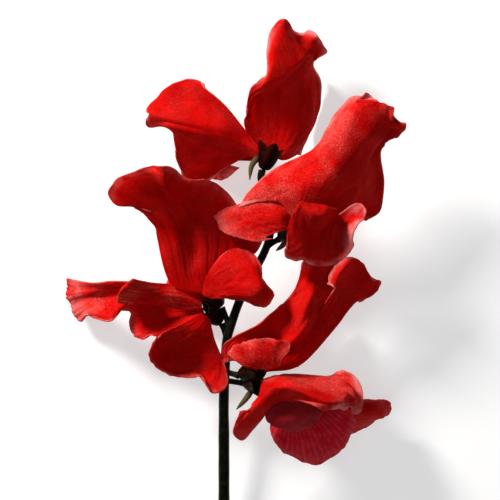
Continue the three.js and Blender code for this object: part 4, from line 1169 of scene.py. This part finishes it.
def calyx_sheet(base, mouth, around, along, seed, tooth_depth):
    """Points of a toothed cup from its base to its mouth"""
    rng = np.random.default_rng(seed)
    base, mouth = np.array(base, float), np.array(mouth, float)
    axis = mouth - base
    length = np.linalg.norm(axis)
    axis /= length
    side = np.cross([0, 0, 1.0], axis)
    side /= np.linalg.norm(side)
    up = np.cross(axis, side)
    turns = np.linspace(0, 2 * np.pi, around + 1)
    tooth = 1 - np.abs(2 * ((turns * TEETH / (2 * np.pi)) % 1) - 1)
    which = (np.arange(around + 1) * TEETH // around) % TEETH
    reach = rng.uniform(*TOOTH_REACH, TEETH)[which]
    spread = rng.uniform(*TOOTH_SPREAD, TEETH)[which]
    share = np.linspace(0, 1, along + 1)[:, None]
    top = length * (1.2 - tooth_depth + tooth_depth * tooth**0.8 * reach)
    height = share * top[None, :]
    level = height / length
    cup = FOOT_RADIUS + BULGE * np.sin(np.clip(level, 0, 1) * np.pi / 2) ** 0.8
    flare = np.clip(level - FLARE_START, 0, 1) * (0.6 + spread * tooth**0.5)[None, :]
    radius = (cup + flare * FLARE) * np.clip(share * 12, 0.04, 1) ** 0.5
    ridge = 1 + CALYX_RIDGE * np.cos(turns * TEETH + np.pi)[None, :]
    ring = np.cos(turns)[None, :, None] * side + np.sin(turns)[None, :, None] * up
    return base + height[:, :, None] * axis + (radius * ridge)[:, :, None] * ring


def calyx(node, base, mouth, seed, sepal_route, tooth_depth, material):
    """One calyx in place of its CAD node"""
    piece = flat_grid(node + "_cup", *CALYX_FINENESS)
    move_onto(piece, calyx_sheet(base, mouth, *CALYX_FINENESS, seed, tooth_depth))
    close_seam(with_ends=False)
    give_thickness(piece, CALYX_WALL)
    if sepal_route:
        join([piece, long_sepal(node + "_sepal", sepal_route, seed)])
    finish_piece(piece, node, material)


print("Calyx maker is ready")

# %% Calyces
FIRST_CALYX_SEED = 40
LONG_TEETH, SHORT_TEETH = 0.44, 0.24
PLAIN_CALYX = (LONG_TEETH, CALYX_SKIN)
OWN_CALYCES = {"top": (SHORT_TEETH, MAROON_CALYX)}

for seed, (bloom, nets) in enumerate(BLOOMS.items(), start=FIRST_CALYX_SEED):
    depth, skin = OWN_CALYCES.get(bloom, PLAIN_CALYX)
    calyx(bloom + "_calyx", *nets["calyx"], seed, LONG_SEPALS.get(bloom), depth, skin)
print("Calyces:", len(BLOOMS))
